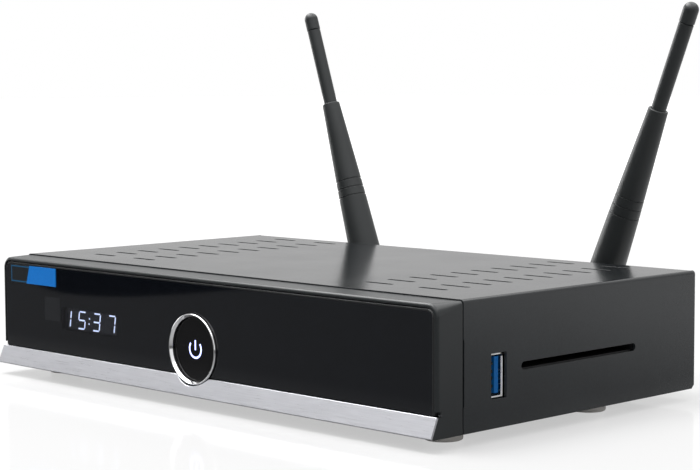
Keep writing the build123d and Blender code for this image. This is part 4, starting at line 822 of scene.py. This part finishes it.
def trim_shell():
    """A closed rounded section (t up the slope, n outwards) at each station along X. The top is
    the smaller of the full height and where the ring's clearance circle meets the slope."""
    length = np.linalg.norm(TRIM_BOTTOM - TRIM_TOP)
    meet = math.sqrt(RING_CLEAR**2 - (KEY_HEIGHT - TRIM_TOP[1]) ** 2)
    ends_and_ring = [[-HALF, HALF], np.linspace(-HALF, HALF, 23), np.linspace(-meet, meet, 41)]
    x = np.unique(np.concatenate(ends_and_ring))
    circle_z = KEY_HEIGHT - np.sqrt(np.clip(RING_CLEAR**2 - x**2, 0, None))
    top_z = np.where(np.abs(x) < meet, np.minimum(circle_z, TRIM_TOP[1]), TRIM_TOP[1])
    top_t = (top_z - TRIM_BOTTOM[1]) / (TRIM_TOP[1] - TRIM_BOTTOM[1]) * length
    corners = [(0.0, 0.0), (length, 0.0), (length, -TRIM_THICK), (0.0, -TRIM_THICK)]
    base = rounded(corners, [0.22, 0.22, 0.1, 0.1], 4)
    upper = base[:, 0] > length / 2
    t = np.where(upper, base[:, 0] - length + top_t[:, None], base[:, 0])
    n = np.repeat(base[None, :, 1], len(x), axis=0)
    y = TRIM_BOTTOM[0] - slope[0] * t - inward[0] * n
    z = TRIM_BOTTOM[1] - slope[1] * t - inward[1] * n
    points = np.stack([np.repeat(x[:, None], len(base), axis=1), y, z], axis=-1)
    count = len(base)
    ends = [list(range(count)), list(range((len(x) - 1) * count, len(x) * count))]
    return points.reshape(-1, 3), grid_faces(len(x), count, closed_columns=True) + ends


trim = soften(make_object("trim_extrusion", trim_shell()), 0.06, 2, 50.0)
print("trim:", len(trim.data.polygons), "faces")

# %% [markdown]
# The window is a flat sheet whose outline follows the arch, with a round bite for the key. A
# real sheet of acrylic has its edge broken by a small polished chamfer, so it gets one.

# %% Window and badge
WINDOW_CORNER, BADGE_CORNER = 1.85, 0.25
window_low, window_high = span("front_window")
badge_low, badge_high = span("badge_tile")


def window_outline():
    """The arch closed along the bottom, where the ring's clearance circle bites into it: the long
    arc runs from the bottom edge over the top of the circle and back down."""
    x, z = arch(window_high[0], window_low[2], window_high[2], WINDOW_CORNER, 8)
    reach = math.asin((KEY_HEIGHT - window_low[2]) / RING_CLEAR)
    bite = circle(RING_CLEAR, (0, KEY_HEIGHT), 90, -reach, math.pi + reach, False)
    return np.concatenate([np.stack([x, z], axis=-1), bite])


window = make_object("window_sheet", bar(window_outline(), window_low[1], window_high[1], 1))
soften(window, 0.1)
badge_corners = rectangle((badge_low[0], badge_high[0]), (badge_low[2], badge_high[2]))
badge_shell = bar(rounded(badge_corners, BADGE_CORNER, 4), badge_low[1], badge_high[1], 1)
badge = soften(make_object("badge_plate", badge_shell), 0.06)
print("window:", len(window.data.polygons), "faces, badge:", len(badge.data.polygons))

# %% [markdown]
# The chrome ring is a turned part: a closed section with a round shoulder outside and a slope
# that leads in to the key, carried round.

# %% Ring
RING_WIDTH = 1.1
RING_SLOPE, RING_SLOPE_DEPTH = 0.6, 0.9


def ring_shell():
    """A closed section of (radius, depth) with rounded front corners, turned about the key's axis."""
    outer = (ring_high[0] - ring_low[0]) / 2
    length = ring_high[1] - ring_low[1]
    bore = outer - RING_WIDTH
    corners = [(outer, 0), (outer, length), (bore + RING_SLOPE, length)]
    corners += [(bore, length - RING_SLOPE_DEPTH), (bore, 0)]
    section = rounded(corners, [0.05, 0.42, 0.12, 0.2, 0.05], 8)
    return moved(turned(section, 160, closed=True), facing_front((0, ring_high[1], KEY_HEIGHT)))


ring = soften(make_object("key_ring", ring_shell()), 0.0)
print("ring:", len(ring.data.polygons), "faces")

# %% [markdown]
# Each aerial leans on a hinge behind the case. The joints in the record say where the hinge is and
# how far it leans, so the parts stand exactly where the joint will turn them.

# %% Hinges of the aerials


def hinge_matrix(side):
    """The hinge's own frame in millimetres: Z up the aerial, X along the pin, Y to the rear."""
    fold = next(j for j in frame["joints"] if j["name"] == f"{side}_antenna_fold")
    place = (np.array(fold["pos_m"]) - ORIGIN) / MM
    along = -np.array(fold["axis"])
    along /= np.linalg.norm(along)
    matrix = np.eye(4)
    matrix[:3, 0], matrix[:3, 1], matrix[:3, 2] = along, (0, 1, 0), np.cross(along, (0, 1, 0))
    matrix[:3, 3] = place
    return matrix


for side in ("left", "right"):
    print(side, "hinge at", np.round(hinge_matrix(side)[:3, 3], 2))

# %% [markdown]
# The sleeve is a turned part with a slow taper and three grooves, and its foot ends in two ears
# that hold the hinge pin. The ears come from a flat outline crossed with the sleeve's cylinder.

# %% Sleeve
SLEEVE = [(6.5, 6.6), (6.35, 14.0), (5.6, 35.5), (5.1, 46.0), (3.55, 76.5), (3.3, 76.9)]
SLEEVE_MOUTH_ROUND, SLEEVE_BORE, BORE_END = 0.4, 2.7, 52.0
GROOVES = (37.0, 40.4, 43.8)
GROOVE_HALF_WIDTH, GROOVE_DEPTH = 0.32, 0.35
EAR_RADIUS, EAR_SHOULDER, EAR_GAP, EAR_END = 6.0, 7.2, 2.45, 8


def sleeve_profile():
    """The sleeve's outline from its foot to its mouth: straight tapers, with each groove a dip
    of a rounded trough: depth times (1 - (distance / half width)^6), never below zero."""
    radii, heights = np.array(SLEEVE).T
    near = [groove + np.linspace(-0.4, 0.4, 25) for groove in GROOVES]
    level = np.unique(np.concatenate([np.linspace(heights[0], heights[-2], 90), *near]))
    radius = np.interp(level, heights, radii)
    for groove in GROOVES:
        dip = 1 - (np.abs(level - groove) / GROOVE_HALF_WIDTH) ** 6
        radius -= GROOVE_DEPTH * np.clip(dip, 0, None)
    centre = (radii[-2] - SLEEVE_MOUTH_ROUND, heights[-2])
    mouth = circle(SLEEVE_MOUTH_ROUND, centre, 7, 0, math.pi / 2, False)
    profile = np.concatenate([[(0, heights[0])], np.stack([radius, level], axis=-1), mouth])
    inside = [(SLEEVE_BORE, heights[-1]), (SLEEVE_BORE, BORE_END), (0, BORE_END)]
    return np.concatenate([profile, inside])


def ears_shell():
    """The sleeve's foot: the plate's outline, two straight sides and a half circle round the pin,
    is a bar along the pin; crossed with the sleeve's cylinder it gives two rounded ears."""
    side = circle(EAR_RADIUS, (0, 0), 40, math.pi, 2 * math.pi, False)
    outline = np.concatenate([side, [(EAR_RADIUS, EAR_SHOULDER), (-EAR_RADIUS, EAR_SHOULDER)]])
    return bar(outline, -SLEEVE[0][0], SLEEVE[0][0], 0)


def cylinder(radius, low, high, segments):
    """A closed cylinder about Z."""
    return turned([(0, low), (radius, low), (radius, high), (0, high)], segments)


def make_sleeve(side):
    """One sleeve at its hinge: ears within the cylinder, a gap between them, then the taper."""
    hinge = hinge_matrix(side)
    radius, start = SLEEVE[0]
    sleeve = make_object(f"{side}_sleeve", moved(ears_shell(), hinge))
    cut(sleeve, [moved(cylinder(radius, -EAR_END, EAR_END + 1, 96), hinge)], "INTERSECT")
    gap = box((-EAR_GAP, EAR_GAP), (-EAR_END, EAR_END), (-EAR_END, start))
    cut(sleeve, [moved(gap, hinge)])
    cut(sleeve, [moved(turned(sleeve_profile(), 96), hinge)], "UNION")
    return soften(sleeve, 0.18, 2, 45.0)


print("sleeve profile:", len(sleeve_profile()), "points")

# %% [markdown]
# The rod sits in the sleeve's bore, with a cap on its end. Between the two is a narrow neck, as a
# moulded cap leaves it. With these, both aerials can be made.

# %% Rods, caps and both aerials
ROD_START, ROD_RADIUS, ROD_END = 52.2, 2.65, 108.4
CAP_RADIUS, AERIAL_TIP = 2.75, 116.2
CAP_NECK = [(0, 0.02), (2.4, 0.02), (2.4, 0.33), (2.6, 0.38), (2.72, 0.46), (CAP_RADIUS, 0.6)]


def make_rod(side):
    """A plain cylinder with its edges just broken."""
    shell = moved(cylinder(ROD_RADIUS, ROD_START, ROD_END, 72), hinge_matrix(side))
    return soften(make_object(f"{side}_rod", shell), 0.06)


def make_cap(side):
    """A turned neck and a quarter circle, which turned gives a half ball at the tip."""
    dome = circle(CAP_RADIUS, (0, AERIAL_TIP - CAP_RADIUS), 14, 0, math.pi / 2, False)
    outline = np.concatenate([np.array(CAP_NECK) + [0, ROD_END], dome])
    return soften(make_object(f"{side}_cap", moved(turned(outline, 72), hinge_matrix(side))), 0.0)


aerials = {}
for side in ("left", "right"):
    aerials[side] = {"sleeve": make_sleeve(side), "rod": make_rod(side), "cap": make_cap(side)}
    print(side, "aerial:", {name: len(part.data.polygons) for name, part in aerials[side].items()})

# %% [markdown]
# New pieces take over from their CAD nodes: each rides on the same body, hides the node and wears the finish of
# the record's slot, so a joint that moves the node moves the piece.

# %% Put the new pieces in place
SLOT_FINISH = {
    "case_paint": "cover_coat",
    "carrier_plastic": "border_plastic",
    "badge_blue": "badge_print",
    "antenna_plastic": "aerial_rubber",
}


def wear(piece, node, slot):
    """Gives a piece its slot's finish. Most share the slot's name, and the side port has its own."""
    name = "usb_nickel" if node == "side_usb_shell" else SLOT_FINISH.get(slot, slot)
    piece.data.materials.clear()
    piece.data.materials.append(FINISHES[name].material)


new_pieces = [
    (cover, "top_cover", "case", "case_paint"),
    (bezel, "front_bezel", "case", "bezel_plastic"),
    (trim, "trim_strip", "case", "trim_silver"),
    (window, "front_window", "case", "window_gloss"),
    (badge, "badge_tile", "case", "badge_blue"),
    (ring, "power_ring", "case", "ring_chrome"),
]
for side, parts in aerials.items():
    for name, piece in parts.items():
        new_pieces.append((piece, f"{side}_antenna_{name}", f"{side}_antenna", "antenna_plastic"))
for piece, node, body, slot in new_pieces:
    wear(piece, node, slot)
    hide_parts(node)
    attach(piece, body)
print("new pieces:", len(new_pieces))

# %% [markdown]
# Every CAD node gets its finish through its own material slots. Its mesh is not touched.

# %% Finish the CAD nodes
for part in frame["record"]["subparts"]:
    wear(frame["nodes"][part["node"]], part["node"], part["material_slot"])

# %% [markdown]
# The studio is white all round, so the camera sees white behind the receiver. Gloss black parts
# show little but what they mirror, so reflections see a studio of their own, with bright and dim
# sides that draw the edges. The Light Path node tells the kinds of rays apart.

# %% World
WORLD_LIGHT, WORLD_SEEN = 0.6, 1.0
UPPER_LEFT, OVERHEAD, SKY, BEHIND, LEFT_WALL, RIGHT_WALL = 9.0, 2.2, 1.0, 0.7, 4.0, 0.9


def highest(graph, values):
    """The largest of several values."""
    result = values[0]
    for value in values[1:]:
        result = graph.calc("MAXIMUM", result, value)
    return result


def make_world():
    """A white world. One strength lights the object and another is what the camera sees. What
    reflections see depends on the direction: white behind, a lamp above, a brighter one high on
    the left, a bright wall far left, a dimmer one on the right, and hardly anything in front."""
    world = bpy.data.worlds.new("studio")
    world.use_nodes = True
    graph = Graph(world.node_tree)
    glow = graph.nodes["Background"]
    glow.inputs["Color"].default_value = (1, 1, 1, 1)
    x, y, z = graph.split(graph.nodes.new("ShaderNodeTexCoord").outputs["Generated"])
    upper = graph.spread(z, 0.0, UPPER_LEFT, 0.6, 0.7, smooth=True)
    upper_left = graph.times(upper, graph.spread(x, 1.0, 0.0, -0.62, -0.5, smooth=True))
    overhead = graph.spread(z, 0.0, OVERHEAD, 0.58, 0.7, smooth=True)
    sky = graph.spread(z, 0.04, SKY, 0.12, 0.45, smooth=True)
    above = graph.calc("ADD", sky, graph.calc("MAXIMUM", upper_left, overhead))
    behind = graph.spread(y, 0.0, BEHIND, 0.1, 0.62, smooth=True)
    left = graph.spread(x, LEFT_WALL, 0.0, -0.98, -0.9, smooth=True)
    right = graph.spread(x, 0.0, RIGHT_WALL, 0.1, 0.7, smooth=True)
    mirrored = highest(graph, [above, behind, left, right])
    direct = graph.calc("MAXIMUM", graph.ray("Camera"), graph.ray("Transmission"))
    plain = graph.spread(direct, WORLD_LIGHT, WORLD_SEEN, 0.0, 1.0)
    glossy = graph.ray("Glossy")
    others = graph.times(plain, graph.calc("SUBTRACT", 1.0, glossy))
    strength = graph.calc("ADD", others, graph.times(mirrored, glossy))
    graph.feed(glow.inputs["Strength"], strength)
    bpy.context.scene.world = world


make_world()
print("world:", len(bpy.context.scene.world.node_tree.nodes), "nodes")

# %% [markdown]
# The receiver stands on a wide white table. A plain white plane would look grey and end in a
# horizon, so part of what the camera sees of it is its own light.

# %% Table
TABLE_REACH = 12.0
TABLE_TONE, TABLE_BOUNCE, TABLE_MIRROR = 0.5, 0.95, 0.17


def mirrored_table(finish):
    """How bright reflections see the table: bright at the rear and on the right, dim in front on
    the left and close to the right side."""
    x, y, _ = finish.split(finish.place)
    back = finish.spread(y, 0.2, 1.0, -0.14, 0.02)
    side = finish.spread(x, 0.2, 0.9, 0.15, 0.5)
    beside = finish.spread(x, 0, 1, 0.11, 0.14)
    forward = finish.spread(y, 0.6, 0.0, 0.06, 0.3)
    shade = finish.times(beside, forward)
    return finish.times(finish.calc("MAXIMUM", back, side), finish.calc("SUBTRACT", 1.0, shade))


def table_finish():
    """White card. The camera sees part of it as its own light, brighter further away, so shadows
    stay pale and no horizon shows, and about a sixth as a mirror."""
    finish = Finish("table_white", 0.6, specular=0.0)
    away = finish.nodes.new("ShaderNodeVectorMath")
    away.operation = "LENGTH"
    finish.links.new(finish.place, away.inputs[0])
    lift = finish.spread(away.outputs["Value"], 0.62, 1.15, 0.45, 1.4)
    camera_part = finish.times(finish.ray("Camera"), TABLE_TONE)
    bounce_part = finish.times(finish.ray("Diffuse"), TABLE_BOUNCE)
    mirror_part = finish.times(finish.ray("Glossy"), mirrored_table(finish))
    tone = finish.calc("ADD", finish.calc("ADD", camera_part, bounce_part), mirror_part)
    finish.set("Base Color", finish.blend(tone, (0, 0, 0), (1, 1, 1)))
    glow = finish.nodes.new("ShaderNodeEmission")
    finish.feed(glow.inputs["Strength"], finish.times(finish.ray("Camera"), lift))
    card = finish.added(finish.shader.outputs[0], glow.outputs[0])
    finish.mixed(finish.times(finish.ray("Camera"), TABLE_MIRROR), card, finish.gloss(0.08))
    return finish


reach = (-TABLE_REACH, TABLE_REACH)
corners = np.column_stack([rectangle(reach, reach), np.zeros(4)])
table = make_object("table", (corners, [[0, 1, 2, 3]]), metres=True)
table.data.materials.append(table_finish().material)
print("table:", 2 * TABLE_REACH, "m wide")

# %% [markdown]
# Cards shape a reflection. A black one in front on the left draws the dark band in the glossy
# window, and one large soft lamp overhead gives the shadow under the case.

# %% Dark board and lamp
DARK_BOARD = [
    (-0.356, -0.257), (-0.331, -0.246), (-0.306, -0.239), (-0.291, -0.2395), (-0.279, -0.243),
    (-0.266, -0.252), (-0.256, -0.277), (-0.253, -0.304), (-0.248, -0.325), (-0.2, -0.45),
    (-0.5, -0.9), (-0.95, -0.65),
]
DARK_BOARD_HEIGHT = 0.001
LAMP_PLACE, LAMP_TARGET = (-0.35, -0.35, 1.5), (0, 0, 0.03)
LAMP_SIZE, LAMP_POWER = 1.0, 15.0


def make_dark_board():
    """A black board that lies flat on the table in front on the left, outside the camera's view.
    Only reflections see it: it is the dark shape along the top of the glossy window."""
    finish = Finish("board_cloth", 0.9, specular=0.0)
    grain = finish.noise(2.0)
    finish.set("Base Color", finish.blend(grain, (0.001, 0.001, 0.001), (0.002, 0.002, 0.002)))
    points = np.array([(x, y, DARK_BOARD_HEIGHT) for x, y in DARK_BOARD])
    board = make_object("dark_board", (points, [list(range(len(points)))]), metres=True)
    board.data.materials.append(finish.material)
    board.visible_camera = False
    board.visible_diffuse = False
    board.visible_shadow = False


def make_lamp():
    """A square soft lamp that looks at its target: a lamp shines along its own -Z."""
    lamp = bpy.data.objects.new("overhead", bpy.data.lights.new("overhead", "AREA"))
    lamp.data.shape = "SQUARE"
    lamp.data.size = LAMP_SIZE
    lamp.data.energy = LAMP_POWER
    lamp.location = LAMP_PLACE
    lamp.rotation_euler = (Vector(LAMP_PLACE) - Vector(LAMP_TARGET)).to_track_quat("Z", "Y").to_euler()
    bpy.context.scene.collection.objects.link(lamp)


make_dark_board()
make_lamp()
print("dark board:", len(DARK_BOARD), "corners, lamps:", len(bpy.data.lights))
